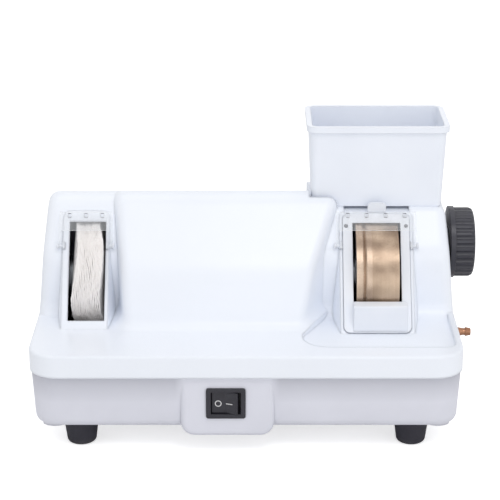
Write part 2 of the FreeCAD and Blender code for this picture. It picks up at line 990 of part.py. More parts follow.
lip = lip_block("lip", zero, s.lip_bottom, above(shelf))


def on_lip_top(edge):
    return all(abs(point.z - above(shelf).value) < slack for point in along(edge))


def on_bay_corner(points):
    """Along the front corner of a bay's outer side, above its floor."""
    near = max(point.y for point in points) < back(s.bay_crown_y + s.crown_radius).value
    raised = min(point.z for point in points) > above(bay_floor).value + reach
    starts = points[0].y < back(s.bay_crown_y).value
    return near and raised and starts and spread(points) > slack


def on_left_front(edge):
    points = along(edge)
    outer = max(point.x for point in points) < s.pick_band.value - s.side_top_half.value
    return outer and not edge_runs_across(edge) and on_bay_corner(points)


def on_right_front(edge):
    points = along(edge)
    outer = min(point.x for point in points) > s.side_top_half.value - s.pick_band.value
    return outer and not edge_runs_across(edge) and on_bay_corner(points)


def on_bulge_foot(edge):
    points = along(edge)
    flat = all(abs(point.z - above(shelf).value) < slack for point in points)
    inner = half_width.value - s.pick_band.value * 2
    inside = all(abs(point.x) < inner and back(s.bulge_foot).value - reach < point.y for point in points)
    far = max(point.y for point in points) < back(bulge_back_y).value + slack
    near = min(point.y for point in points) < back(s.bay_foot).value
    return flat and inside and far and near


lip_soft = rounded("lip_soft", lip, s.lip_edge_radius, on_lip_top)
bulge_zone = zone("bulge_zone", bulge_section(), -half_width, half_width, None)
bulge = common("bulge", bulge_zone, bulge_plan("bulge_outline", None))
bulge_soft = rounded("bulge_soft", bulge, s.step_radius, on_slant)
front_mass = fuse("front_mass", [lip_soft, bulge_soft])
front_soft = rounded("front_soft", front_mass, s.shelf_fillet, on_bulge_foot)
recess = recess_block("recess", zero, above(bay_floor), above(shelf + s.shelf_fillet))
front_cut = cut("front_cut", front_soft, recess)
sides = side_prism("sides", None)
left_zone = zone("left_zone", bay_section(s.shelf_fillet), -half_width, s.seat_left, None)
left_sides = common("left_sides", left_zone, sides)
left_soft = rounded("left_soft", left_sides, s.step_radius, on_left_front)
right_zone = zone("right_zone", tank_bay_section(s.shelf_fillet, zero), s.seat_left, half_width, None)
right_sides = common("right_sides", right_zone, sides)
right_soft = rounded("right_soft", right_sides, s.step_radius, on_right_front)
left_pod = pod("left_pod", s.left_pod_x, s.left_pod_width, zero)
right_pod = pod("right_pod", s.right_pod_x, s.right_pod_width, zero)
sky = above(s.body_depth)
room = block("tank_room", s.seat_left, half_width, s.seat_cut_y, s.body_depth, above(s.seat_z), sky)
below = block("below_lip", -half_width, half_width, zero, s.body_depth, zero, s.lip_bottom)
hump_mass = fuse("hump_mass", [front_cut, left_soft, right_soft])
seated = cut("seated", hump_mass, room)
cover_mass = fuse("cover_mass", [seated, left_pod, right_pod])
cover_form = cut("cover_form", cover_mass, below)

# Top cover, hollow under a wall of one thickness
wall = s.cover_wall
hollow_top = above(bay_floor - wall)
lip_hollow = lip_block("lip_hollow", wall, s.lip_bottom - s.overrun, hollow_top)
sides_hollow = side_prism("sides_hollow", wall)
left_hollow_zone = zone("left_hollow_zone", bay_section(s.shelf_fillet), -half_width, s.seat_left - wall, wall)
left_hollow = common("left_hollow", left_hollow_zone, sides_hollow)
seat_section = tank_bay_section(s.shelf_fillet, s.channel_depth)
right_hollow_zone = zone("right_hollow_zone", seat_section, s.seat_left + wall, half_width, wall)
right_hollow = common("right_hollow", right_hollow_zone, sides_hollow)
pass_left = s.seat_left - wall * 2
pass_right = s.seat_left + wall * 2
passage_tall = zone("passage_tall", bay_section(s.shelf_fillet), pass_left, pass_right, wall)
passage_low = zone("passage_low", seat_section, pass_left, pass_right, wall)
passage = common("passage", passage_tall, passage_low)
bulge_hollow_zone = zone("bulge_hollow_zone", bulge_section(), -half_width, half_width, wall)
bulge_hollow = common("bulge_hollow", bulge_hollow_zone, bulge_plan("bulge_hollow_outline", wall))
ceiling = above(s.seat_z - wall - s.channel_depth)
room_hollow = block("tank_room_wall", s.seat_left - wall, half_width, s.seat_cut_y - wall, s.body_depth, ceiling, sky)
bulge_room = cut("bulge_room", bulge_hollow, room_hollow)
left_pod_hollow = pod("left_pod_hollow", s.left_pod_x, s.left_pod_width, wall)
right_pod_hollow = pod("right_pod_hollow", s.right_pod_x, s.right_pod_width, wall)
pod_hollows = [left_pod_hollow, right_pod_hollow]
cover_hollow = fuse("cover_hollow", [lip_hollow, left_hollow, right_hollow, passage, bulge_room] + pod_hollows)
cover_shell = cut("cover_shell", cover_form, cover_hollow)

# Top cover, posts, knob seat and all openings
posts = [
    ("left_front", -s.cover_post_x, s.cover_post_front_y),
    ("right_front", s.cover_post_x, s.cover_post_front_y),
    ("left_back", -s.cover_post_x, cover_post_back_y),
    ("right_back", s.cover_post_x, cover_post_back_y),
]
post_top = hollow_top + wall / 2
cover_posts = [
    rod("cover_post_" + place_name, "Z", x, y, s.cover_post_low, s.cover_post_radius, post_top - s.cover_post_low)
    for place_name, x, y in posts
]
knob_level = above(s.knob_z)
knob_seat_x = s.knob_face - s.knob_boss_length
lugs = []
for side, centre, width in (("left", s.left_pod_x, s.left_pod_width), ("right", s.right_pod_x, s.right_pod_width)):
    for hand, start in (("left", centre - width / 2), ("right", centre + width / 2 - s.lug_width)):
        lugs.append(leaning_box(
            side + "_lug_" + hand, start, start + s.lug_width, s.guard_pivot_t - s.lug_half,
            s.guard_pivot_t + s.lug_half, -s.frame_sunk, s.lug_rise,
        ))
knob_boss = rod("knob_boss", "X", knob_seat_x, s.knob_y, knob_level, s.knob_boss_radius, s.knob_boss_length)
cover_body = fuse("cover_body", [cover_shell, knob_boss] + cover_posts + lugs)

axis_level = above(s.axis_z)
wheel_room = s.wheel_radius + s.wheel_gap
left_edge = s.left_window_x - s.left_window_width / 2
right_edge = s.right_window_x - s.right_window_width / 2


def wheel_envelope(name, side):
    """The round space that one wheel turns in, cut from whatever is near it."""
    if side == "left":
        return rod(name, "X", left_edge, s.axis_y, axis_level, wheel_room, s.left_window_width)
    return rod(name, "X", right_edge, s.axis_y, axis_level, wheel_room, s.right_window_width)


left_window = leaning_box(
    "left_window", left_edge, left_edge + s.left_window_width,
    s.left_window_low, s.left_window_high, -wall - s.overrun, s.overrun,
)
frame_pocket = leaning_plate(
    "frame_pocket", s.right_pod_x, s.frame_width + s.fit_gap * 2, s.frame_low - s.fit_gap,
    s.frame_high + s.fit_gap, -s.frame_sunk, s.overrun, s.frame_corner,
)
knob_recess = rod(
    "knob_recess", "X", s.knob_face, s.knob_y, knob_level, s.knob_radius + s.knob_clear, s.overrun,
)
bush_reach = s.knob_boss_length + s.overrun
bush_hole = rod("bush_hole", "X", s.knob_face - bush_reach, s.knob_y, knob_level, s.bush_radius, bush_reach * 2)
seat_level = above(s.seat_z)
channel_floor = seat_level - s.channel_depth
channel_left = s.spout_x - s.channel_width / 2
channel = block(
    "tap_channel", channel_left, channel_left + s.channel_width, s.bay_crown_y - s.step_radius * 2,
    s.channel_back_y, channel_floor, seat_level + s.overrun,
)
neck_hole = rod("neck_hole", "Z", s.spout_x, s.spout_y, ceiling - s.overrun, s.neck_radius, s.overrun * 3)
pilots = [
    rod("cover_pilot_" + place_name, "Z", x, y, s.lip_bottom, s.bolt_shank, s.cover_screw_tip - s.lip_bottom)
    for place_name, x, y in posts
]
pivot_behind = pod_behind(s.guard_pivot_t, s.guard_pivot_h)
pivot_level = pod_level(s.guard_pivot_t, s.guard_pivot_h)
GUARDS = {
    "left": (s.left_pod_x, s.left_pod_width, LEFT_SLOTS, s.left_slot_pitch),
    "right": (s.right_pod_x, s.right_pod_width, RIGHT_SLOTS, s.right_slot_pitch),
}


def guard_half(width):
    """Half the clear width between a guard's arms."""
    draft = sine(s.pod_draft) / cosine(s.pod_draft)
    return width / 2 + (s.guard_arm - s.guard_pivot_h) * draft + s.guard_gap


pivot_holes = []
for side, (centre, width, slots, pitch) in GUARDS.items():
    half = guard_half(width)
    for hand, start in (("left", centre - half), ("right", centre + half - s.pivot_grip)):
        name = side + "_pilot_" + hand
        pivot_holes.append(rod(name, "X", start, pivot_behind, pivot_level, s.pivot_radius, s.pivot_grip))
frame_pilots = [
    leaning_rod(name, s.right_pod_x + x, s.frame_screw_t, -wall - s.overrun, s.frame_screw_shank, s.overrun * 2)
    for name, x in (("frame_pilot_left", -s.frame_screw_x), ("frame_pilot_right", s.frame_screw_x))
]
envelopes = [wheel_envelope("left_envelope", "left"), wheel_envelope("right_envelope", "right")]
cover_tools = [left_window, frame_pocket, knob_recess, bush_hole, channel, neck_hole]
top_cover = cut("top_cover", cover_body, fuse("cover_tools", cover_tools + envelopes + pilots + pivot_holes + frame_pilots))

# Base tub with its switch boss, rim, posts and pads


def tub(name, shrink, low):
    """The drafted tub, or the hollow inside it, with its bottom edge rounded."""
    owner = body(name)
    tie(owner, "Placement.Base.x", shift_x)
    sketch = plane_sketch(owner, name + "_plan", "XY", s.lip_bottom)
    across = half_width - s.base_inset - shrink
    deep = half_depth - s.base_inset - shrink
    draw(sketch, rectangle(-across, across, -deep, deep, s.lip_corner - s.base_inset - shrink))
    solid = pad(owner, name + "_pad", sketch, s.lip_bottom - low, back_way=True, taper=-s.base_draft)
    doc.recompute()
    bottom = [
        "Edge%d" % number for number, edge in enumerate(solid.Shape.Edges, start=1)
        if all(abs(point.z - low.value) < slack for point in along(edge))
    ]
    feature = owner.newObject("PartDesign::Fillet", name + "_fillet")
    feature.Base = (solid, bottom)
    tie(feature, "Radius", s.base_edge_radius - shrink)
    return owner


floor = s.base_floor + s.base_wall
tub_shell = cut("tub_shell", tub("tub_form", zero, s.base_floor), tub("tub_hollow", s.base_wall, floor))
rim_low = s.lip_bottom - s.rim_rise
rim_gap = wall + s.fit_gap
rim = cut(
    "rim", lip_block("rim_form", rim_gap, rim_low, s.lip_bottom + s.rim_rise),
    lip_block("rim_hollow", rim_gap + s.rim_thick, rim_low - s.overrun, s.lip_bottom + s.rim_rise + s.overrun),
)
boss_sketch = sketch_at("boss_front", "XZ", s.boss_x, s.boss_front_y, zero)
draw(boss_sketch, [
    (-s.boss_width / 2, s.boss_low, s.boss_low_radius), (s.boss_width / 2, s.boss_low, s.boss_low_radius),
    (s.boss_width / 2, s.boss_high, s.boss_high_radius), (-s.boss_width / 2, s.boss_high, s.boss_high_radius),
])
boss_block = extrude("boss_block", boss_sketch, s.boss_low_radius)


def on_boss_front(edge):
    return all(abs(point.y - back(s.boss_front_y).value) < slack for point in along(edge))


boss = rounded("boss", boss_block, s.boss_edge_radius, on_boss_front)
inlet_sketch = sketch_at("inlet_boss_front", "XZ", s.inlet_x, inlet_boss_back_y - s.pad_rise * 2, s.inlet_z)
draw(inlet_sketch, rectangle(
    -s.inlet_boss_width / 2, s.inlet_boss_width / 2,
    -s.inlet_boss_height / 2, s.inlet_boss_height / 2, s.inlet_boss_radius,
))
inlet_boss = extrude("inlet_boss", inlet_sketch, s.pad_rise * 2)
feet_at = [
    ("left_front", -s.foot_x, s.foot_front_y), ("right_front", s.foot_x, s.foot_front_y),
    ("left_back", -s.foot_x, foot_back_y), ("right_back", s.foot_x, foot_back_y),
]
tub_posts = [
    rod("tub_post_" + name, "Z", x, y, s.base_floor, s.post_radius, s.cover_post_low - s.base_floor)
    for name, x, y in posts
]
left_tray_x = (s.left_tray_left + s.left_tray_right) / 2
right_tray_x = (s.right_tray_left + s.right_tray_right) / 2
tray_posts_at = [
    ("left_front", left_tray_x, s.tray_front_y + s.post_inset), ("left_back", left_tray_x, s.tray_back_y - s.post_inset),
    ("right_front", right_tray_x, s.tray_front_y + s.post_inset), ("right_back", right_tray_x, s.tray_back_y - s.post_inset),
]
tray_posts = [
    rod("tray_post_" + name, "Z", x, y, s.base_floor, s.post_radius, s.tray_floor - s.base_floor)
    for name, x, y in tray_posts_at
]
saddle_left = s.motor_left + s.saddle_inset
saddle_right = s.motor_left + s.motor_length - s.saddle_inset - s.saddle_width
plate_bolt_left = saddle_left + s.saddle_width + s.bolt_head * 2
plate_bolt_right = saddle_right - s.bolt_head * 2
plate_bolt_y = s.saddle_half - s.bolt_head * 2
cradle_bolts_at = [
    ("left_front", plate_bolt_left, s.axis_y - plate_bolt_y), ("left_back", plate_bolt_left, s.axis_y + plate_bolt_y),
    ("right_front", plate_bolt_right, s.axis_y - plate_bolt_y), ("right_back", plate_bolt_right, s.axis_y + plate_bolt_y),
]
cradle_low = floor + s.pad_rise
cradle_pads = [
    rod("cradle_pad_" + name, "Z", x, y, s.base_floor, s.post_radius, cradle_low - s.base_floor)
    for name, x, y in cradle_bolts_at
]
drain_face = s.knob_face
drain_boss = rod("drain_boss", "X", s.cover_post_x + s.post_radius, s.drain_y, s.drain_z, s.knob_boss_length, drain_face - s.cover_post_x - s.post_radius)
tub_solid = fuse("tub_solid", [tub_shell, rim, boss, inlet_boss, drain_boss] + tub_posts + tray_posts + cradle_pads)
tub_tools = [
    block(
        "switch_hole", s.switch_x - s.switch_width / 2 - s.fit_gap, s.switch_x + s.switch_width / 2 + s.fit_gap,
        s.boss_front_y - s.overrun, s.switch_depth + s.overrun,
        s.switch_z - s.switch_height / 2 - s.fit_gap, s.switch_z + s.switch_height / 2 + s.fit_gap,
    ),
    block(
        "inlet_hole", s.inlet_x - s.inlet_body_width / 2 - s.fit_gap, s.inlet_x + s.inlet_body_width / 2 + s.fit_gap,
        inlet_boss_back_y - s.inlet_depth, inlet_boss_back_y + s.overrun,
        s.inlet_z - s.inlet_body_height / 2 - s.fit_gap, s.inlet_z + s.inlet_body_height / 2 + s.fit_gap,
    ),
    rod("drain_hole", "X", s.stud_inner, s.drain_y, s.drain_z, s.nipple_tube, s.nipple_tip - s.stud_inner),
]
for name, x, y in feet_at:
    tub_tools.append(rod("foot_hole_" + name, "Z", x, y, s.base_floor - s.overrun, s.bolt_shank, s.overrun * 2))
for name, x, y in posts:
    tub_tools.append(rod("screw_well_" + name, "Z", x, y, s.base_floor - s.overrun, s.cover_screw_well, s.cover_screw_seat - s.base_floor + s.overrun))
    tub_tools.append(rod("screw_hole_" + name, "Z", x, y, s.cover_screw_seat, s.bolt_shank, s.overrun * 3))
for name, x, y in tray_posts_at:
    tub_tools.append(rod("tray_pilot_" + name, "Z", x, y, s.tray_floor - s.bolt_reach, s.bolt_shank, s.bolt_reach + s.overrun))
for name, x, y in cradle_bolts_at:
    tub_tools.append(rod("cradle_pilot_" + name, "Z", x, y, cradle_low - s.pad_rise, s.bolt_shank, s.pad_rise + s.overrun))
for name, x in (("left", -s.inlet_screw_pitch / 2), ("right", s.inlet_screw_pitch / 2)):
    start = inlet_boss_back_y - s.pad_rise
    tub_tools.append(rod("inlet_pilot_" + name, "Y", s.inlet_x + x, start, s.inlet_z, s.frame_screw_shank, s.pad_rise * 2))
base_tub = cut("base_tub", tub_solid, fuse("tub_tools", tub_tools))

# Feet, their screws and nuts, and the cover screws
foot_corners = [
    (zero, s.foot_well_radius, None), (zero, s.foot_low_radius, s.foot_round), (s.base_floor, s.foot_top_radius, None),
    (s.base_floor, s.bolt_shank, None), (s.foot_well_depth, s.bolt_shank, None),
    (s.foot_well_depth, s.foot_well_radius, None),
]
feet = {"foot_" + name: turned("foot_" + name, "Z", x, y, zero, foot_corners) for name, x, y in feet_at}
foot_screw_parts = []
for name, x, y in feet_at:
    foot_screw_parts.append(turned("foot_screw_" + name, "Z", x, y, zero, [
        (s.foot_well_depth - s.bolt_head_rise, zero, None), (s.foot_well_depth - s.bolt_head_rise, s.bolt_head, None),
        (s.foot_well_depth, s.bolt_head, None), (s.foot_well_depth, s.bolt_shank, None),
        (floor + s.foot_nut_thick + s.lip_edge_radius, s.bolt_shank, None),
        (floor + s.foot_nut_thick + s.lip_edge_radius, zero, None),
    ]))
    foot_screw_parts.append(nut("foot_nut_" + name, "Z", x, y, floor, s.foot_nut_flat, s.foot_nut_thick, s.bolt_shank - s.run_gap))
foot_screws = fuse("foot_screws", foot_screw_parts)
cover_screws = fuse("cover_screws", [
    turned("cover_screw_" + name, "Z", x, y, zero, [
        (s.cover_screw_seat - s.bolt_head_rise, zero, None), (s.cover_screw_seat - s.bolt_head_rise, s.bolt_head, None),
        (s.cover_screw_seat, s.bolt_head, None), (s.cover_screw_seat, s.bolt_shank, None),
        (s.cover_screw_tip, s.bolt_shank, None), (s.cover_screw_tip, zero, None),
    ]) for name, x, y in posts
])

# Wheel frame insert, its screws and the lens rest
frame_plate = leaning_plate(
    "frame_plate", s.right_pod_x, s.frame_width, s.frame_low, s.frame_high, -s.frame_sunk, s.frame_proud, s.frame_corner,
)
frame_holes = [
    leaning_rod(name, s.right_pod_x + x, s.frame_screw_t, -s.overrun, s.frame_screw_shank, s.overrun * 2)
    for name, x in (("frame_hole_left", -s.frame_screw_x), ("frame_hole_right", s.frame_screw_x))
]
wheel_frame = cut("wheel_frame", frame_plate, fuse("frame_tools", frame_holes + [wheel_envelope("frame_envelope", "right")]))
frame_screws = fuse("frame_screws", [
    leaning_rod(name + "_head", s.right_pod_x + x, s.frame_screw_t, s.frame_proud, s.frame_screw_head, s.frame_screw_rise)
    for name, x in (("frame_screw_left", -s.frame_screw_x), ("frame_screw_right", s.frame_screw_x))
] + [
    leaning_rod(name + "_shank", s.right_pod_x + x, s.frame_screw_t, -wall, s.frame_screw_shank, wall + s.frame_proud)
    for name, x in (("frame_screw_left", -s.frame_screw_x), ("frame_screw_right", s.frame_screw_x))
])
rest_sketch = sketch_at("rest_profile", "YZ", s.rest_x - s.rest_width / 2, s.pod_front_y, above(s.pod_front_z))
steep = sine(s.pod_lean) / cosine(s.pod_lean)
sole = s.frame_proud / cosine(s.pod_lean)
draw(rest_sketch, [
    (zero, sole, None), (s.rest_top_depth, sole + s.rest_top_depth * steep, None),
    (s.rest_top_depth, s.rest_height, s.rest_edge), (zero, s.rest_height, s.rest_edge),
])
lens_rest = extrude("lens_rest", rest_sketch, s.rest_width)

# Spindle: shaft, wheels with their flanges and nuts, slingers, rotor and fan
wheel_right = s.wheel_left + s.finish_width + s.rough_width
buff_right = s.buff_left + s.buff_width
shoulder_left = buff_right + s.flange_thick
shoulder_right = s.wheel_left - s.flange_thick
bell_left = s.motor_left - s.bell_wall
bell_right = s.motor_left + s.motor_length + s.bell_wall
bearing_left_x = bell_left + s.bell_lip
bearing_right_x = bell_right - s.bell_lip - s.bearing_width
collar_left = bearing_left_x + s.bearing_width + s.run_gap
collar_right = bearing_right_x - s.run_gap


def spun(name, corners):
    """A turned piece on the spindle's axis, with X from the body's middle."""
    return turned(name, "X", zero, s.axis_y, axis_level, corners)


def spun_ring(name, start, end, inner, outer):
    return spun(name, [(start, inner, None), (end, inner, None), (end, outer, None), (start, outer, None)])


spindle_shaft = spun("spindle_shaft", [
    (s.shaft_left, zero, None), (s.shaft_left, s.shaft_end_radius, None), (shoulder_left, s.shaft_end_radius, None),
    (shoulder_left, s.shaft_bearing_radius, None), (collar_left, s.shaft_bearing_radius, None),
    (collar_left, s.shaft_collar_radius, None), (collar_right, s.shaft_collar_radius, None),
    (collar_right, s.shaft_bearing_radius, None), (shoulder_right, s.shaft_bearing_radius, None),
    (shoulder_right, s.shaft_end_radius, None), (s.shaft_right, s.shaft_end_radius, None), (s.shaft_right, zero, None),
])
rim_inner = s.wheel_radius - s.rim_depth
wheel_core = spun("wheel_core", [
    (s.wheel_left, s.shaft_end_radius, None), (s.wheel_left, s.web_inner, None),
    (s.wheel_left + s.web_inset, s.web_inner, None), (s.wheel_left + s.web_inset, s.web_outer, None),
    (s.wheel_left, s.web_outer, None), (s.wheel_left, rim_inner, None), (wheel_right, rim_inner, None),
    (wheel_right, s.web_outer, None), (wheel_right - s.web_inset, s.web_outer, None),
    (wheel_right - s.web_inset, s.web_inner, None), (wheel_right, s.web_inner, None),
    (wheel_right, s.shaft_end_radius, None),
])
zone_edge = s.wheel_left + s.finish_width
finish_rim = spun("finish_rim", [
    (s.wheel_left, rim_inner, None), (zone_edge, rim_inner, None), (zone_edge, s.wheel_radius, None),
    (s.groove_x + s.groove_half, s.wheel_radius, None), (s.groove_x, s.wheel_radius - s.groove_depth, None),
    (s.groove_x - s.groove_half, s.wheel_radius, None), (s.wheel_left, s.wheel_radius, None),
])
rough_rim = spun_ring("rough_rim", zone_edge, wheel_right, rim_inner, s.wheel_radius)
buffing_wheel = spun("buffing_wheel", [
    (s.buff_left, s.shaft_end_radius, None), (buff_right, s.shaft_end_radius, None),
    (buff_right, s.wheel_radius, s.buff_round), (s.buff_left, s.wheel_radius, s.buff_round),
])


def flange(name, start):
    return spun_ring(name, start, start + s.flange_thick, s.shaft_end_radius, s.flange_radius)


wheel_flanges = fuse("wheel_flanges", [flange("wheel_flange_inner", shoulder_right), flange("wheel_flange_outer", wheel_right)])
buff_flanges = fuse("buff_flanges", [flange("buff_flange_inner", buff_right), flange("buff_flange_outer", s.buff_left - s.flange_thick)])
wheel_nut = nut("wheel_nut", "X", wheel_right + s.flange_thick, s.axis_y, axis_level, s.nut_flat, s.nut_thick, s.shaft_end_radius)
buff_nut = nut("buff_nut", "X", s.buff_left - s.flange_thick - s.nut_thick, s.axis_y, axis_level, s.nut_flat, s.nut_thick, s.shaft_end_radius)
slinger_left = s.left_tray_right + s.slinger_thick + s.lip_edge_radius
slinger_right = s.right_tray_left - s.slinger_thick * 2 - s.lip_edge_radius
shaft_slingers = fuse("shaft_slingers", [
    spun_ring("slinger_left", slinger_left, slinger_left + s.slinger_thick, s.shaft_bearing_radius, s.slinger_radius),
    spun_ring("slinger_right", slinger_right, slinger_right + s.slinger_thick, s.shaft_bearing_radius, s.slinger_radius),
])
core_left = s.motor_left + s.core_inset
core_right = s.motor_left + s.motor_length - s.core_inset
rotor_core = spun_ring("rotor_core", core_left, core_right, s.shaft_collar_radius, s.stator_bore - s.air_gap)
fan_left = bell_right + s.fan_gap
fan_right = fan_left + s.fan_disc + s.fan_depth
fan_parts = [
    spun_ring("fan_disc", fan_left, fan_left + s.fan_disc, s.shaft_bearing_radius, s.fan_radius),
    spun_ring("fan_hub", fan_left, fan_right, s.shaft_bearing_radius, s.fan_hub),
]
for number in range(FAN_BLADES):
    blade = doc.addObject("Part::Box", "fan_blade_%d" % (number + 1))
    tie(blade, "Length", s.fan_disc + s.fan_depth)
    tie(blade, "Width", s.fan_radius - s.fan_hub + s.fan_blade)
    tie(blade, "Height", s.fan_blade)
    blade.Placement = FreeCAD.Placement(V(), FreeCAD.Rotation(V(1, 0, 0), 1))
    turn = Size(360.0 / FAN_BLADES * number, repr(360.0 / FAN_BLADES * number))
    tie(blade, "Placement.Rotation.Angle", turn)
    root = s.fan_hub - s.fan_blade
    tie(blade, "Placement.Base.x", fan_left + shift_x)
    tie(blade, "Placement.Base.y", back(s.axis_y) + root * cosine(turn) + s.fan_blade / 2 * sine(turn))
    tie(blade, "Placement.Base.z", axis_level + root * sine(turn) - s.fan_blade / 2 * cosine(turn))
    fan_parts.append(blade)
cooling_fan = fuse("cooling_fan", fan_parts)

# Motor: shell, bells, bearings, stator and windings
shell_bore = s.shell_radius - s.shell_wall
motor_right = s.motor_left + s.motor_length
motor_shell = spun_ring("motor_shell", s.motor_left, motor_right, shell_bore, s.shell_radius)


def bell(name, face, away):
    """An end bell: away is +1 with the motor on its right, -1 with the motor on its left."""
    def at(distance):
        return face + distance * away
    hub = s.bearing_radius + s.bearing_land
    return spun(name, [
        (at(zero), s.shell_radius, None), (at(s.bell_wall), s.shell_radius, None),
        (at(s.bell_wall), shell_bore, None), (at(s.bell_wall + s.bell_spigot), shell_bore, None),
        (at(s.bell_wall + s.bell_spigot), shell_bore - s.bearing_land, None),
        (at(s.bell_wall), shell_bore - s.bearing_land, None), (at(s.bell_wall), hub, None),
        (at(s.bell_length), hub, None), (at(s.bell_length), s.bearing_radius, None),
        (at(s.bell_lip), s.bearing_radius, None), (at(s.bell_lip), s.bell_bore, None), (at(zero), s.bell_bore, None),
    ])


motor_end_left = bell("motor_end_left", bell_left, 1)
motor_end_right = bell("motor_end_right", bell_right, -1)


def bearing(name, start):
    inner = s.shaft_bearing_radius + s.run_gap
    race = s.bearing_land - s.bearing_groove / 2
    end = start + s.bearing_width
    return spun(name, [
        (start, inner, None), (start, inner + race, None), (start + s.bearing_groove, inner + race, None),
        (start + s.bearing_groove, s.bearing_radius - race, None), (start, s.bearing_radius - race, None),
        (start, s.bearing_radius, None), (end, s.bearing_radius, None), (end, s.bearing_radius - race, None),
        (end - s.bearing_groove, s.bearing_radius - race, None), (end - s.bearing_groove, inner + race, None),
        (end, inner + race, None), (end, inner, None),
    ])


motor_bearings = fuse("motor_bearings", [
    bearing("bearing_left", bearing_left_x), bearing("bearing_right", bearing_right_x),
])
stator_core = spun_ring("stator_core", core_left, core_right, s.stator_bore, shell_bore)
winding_outer = shell_bore - s.winding_clear
stator_windings = fuse("stator_windings", [
    spun_ring("winding_left", core_left - s.winding_length, core_left, s.winding_inner, winding_outer),
    spun_ring("winding_right", core_right, core_right + s.winding_length, s.winding_inner, winding_outer),
])

# Motor cradle on the base pads, with straps over the shell
saddle_top = axis_level - s.saddle_drop
plate_top = cradle_low + s.cradle_plate
cradle_plate = block("cradle_plate", saddle_left, saddle_right + s.saddle_width, s.axis_y - s.saddle_half, s.axis_y + s.saddle_half, cradle_low, plate_top)
saddles = [
    block(name, start, start + s.saddle_width, s.axis_y - s.saddle_half, s.axis_y + s.saddle_half, cradle_low, saddle_top)
    for name, start in (("saddle_one", saddle_left), ("saddle_two", saddle_right))
]
strap_radius = s.shell_radius + s.strap_thick
strap_bolt_y = (strap_radius + s.saddle_half) / 2
strap_bolts_at = []
for side, start in (("left", saddle_left), ("right", saddle_right)):
    for hand, step in (("front", -strap_bolt_y), ("back", strap_bolt_y)):
        strap_bolts_at.append((side + "_" + hand, start + s.saddle_width / 2, s.axis_y + step))
cradle_tools = [
    rod("cradle_bore", "X", s.motor_left, s.axis_y, axis_level, s.shell_radius, s.motor_length),
    block("cradle_arch", s.motor_left, motor_right, s.axis_y - s.saddle_slot_half, s.axis_y + s.saddle_slot_half, plate_top, axis_level - s.shell_radius - s.saddle_drop),
]
for name, x, y in cradle_bolts_at:
    cradle_tools.append(rod("cradle_hole_" + name, "Z", x, y, cradle_low - s.overrun, s.bolt_shank, s.overrun * 3))
for name, x, y in strap_bolts_at:
    cradle_tools.append(rod("saddle_hole_" + name, "Z", x, y, saddle_top + s.strap_thick - s.bolt_reach, s.bolt_shank, s.bolt_reach))
motor_cradle = cut("motor_cradle", fuse("cradle_solid", [cradle_plate] + saddles), fuse("cradle_tools", cradle_tools))
cradle_bolts = fuse("cradle_bolts", [
    bolt("cradle_bolt_" + name, x, y, plate_top, s.bolt_head, s.bolt_head_rise, s.bolt_shank, s.bolt_reach)
    for name, x, y in cradle_bolts_at
])
strap_parts = []
for name, start in (("one", saddle_left), ("two", saddle_right)):
    hoop = spun_ring("strap_hoop_" + name, start, start + s.saddle_width, s.shell_radius, strap_radius)
    ears = block("strap_ears_" + name, start, start + s.saddle_width, s.axis_y - s.saddle_half, s.axis_y + s.saddle_half, saddle_top, saddle_top + s.strap_thick)
    strap_parts.append(fuse("strap_" + name, [hoop, ears]))
strap_cut = [
    block("strap_under", s.motor_left, motor_right, s.axis_y - s.saddle_half, s.axis_y + s.saddle_half, cradle_low, saddle_top),
    rod("strap_bore", "X", s.motor_left, s.axis_y, axis_level, s.shell_radius, s.motor_length),
]
for name, x, y in strap_bolts_at:
    strap_cut.append(rod("strap_hole_" + name, "Z", x, y, saddle_top, s.bolt_shank, s.overrun))
motor_straps = cut("motor_straps", fuse("strap_solid", strap_parts), fuse("strap_tools", strap_cut))
strap_bolts = fuse("strap_bolts", [
    bolt("strap_bolt_" + name, x, y, saddle_top + s.strap_thick, s.bolt_head * 2 / 3, s.bolt_head_rise, s.bolt_shank, s.bolt_reach)
    for name, x, y in strap_bolts_at
])

# Splash trays under the wheels, each with a screen round the shaft on the motor's side


def tray(name, left, right, screen_left):
    """An open tray with a tall screen that starts at screen_left."""
    outer = block(name + "_outer", left, right, s.tray_front_y, s.tray_back_y, s.tray_floor, s.tray_top)
    thick = s.tray_wall
    inner = block(name + "_inner", left + thick, right - thick, s.tray_front_y + thick, s.tray_back_y - thick, s.tray_floor + thick, s.tray_top + thick)
    screen_sketch = sketch_at(name + "_screen_profile", "YZ", screen_left, zero, zero)
    draw(screen_sketch, [
        (s.splash_front_y, s.tray_floor, None), (s.splash_back_y, s.tray_floor, None),
        (s.splash_back_y, s.splash_top_z, None), (s.splash_top_y, s.splash_top_z, None),
        (s.splash_front_y, s.splash_knee_z, None),
    ])
    screen = extrude(name + "_screen", screen_sketch, thick)
    return fuse(name + "_solid", [cut(name + "_shell", outer, inner), screen])


shaft_hole_left = rod("shaft_hole_left", "X", s.left_tray_right - s.overrun, s.axis_y, axis_level, s.shaft_hole, s.overrun * 2)
shaft_hole_right = rod("shaft_hole_right", "X", s.right_tray_left - s.overrun, s.axis_y, axis_level, s.shaft_hole, s.overrun * 2)
tray_holes = {
    name: rod("tray_hole_" + name, "Z", x, y, s.tray_floor - s.overrun, s.bolt_shank, s.overrun * 2)
    for name, x, y in tray_posts_at
}
left_tray = cut(
    "left_tray", tray("left_tray", s.left_tray_left, s.left_tray_right, s.left_tray_right - s.tray_wall),
    fuse("left_tray_tools", [shaft_hole_left, tray_holes["left_front"], tray_holes["left_back"]]),
)
spigot = rod("drain_spigot", "X", s.right_tray_right - s.tray_wall, s.drain_y, s.drain_z, s.spigot_radius, s.tray_wall + s.spigot_length)
drain_bore = rod("drain_bore", "X", s.right_tray_right - s.overrun, s.drain_y, s.drain_z, s.drain_bore, s.overrun * 3)
right_tray_solid = fuse("right_tray_solid", [tray("right_tray", s.right_tray_left, s.right_tray_right, s.right_tray_left), spigot])
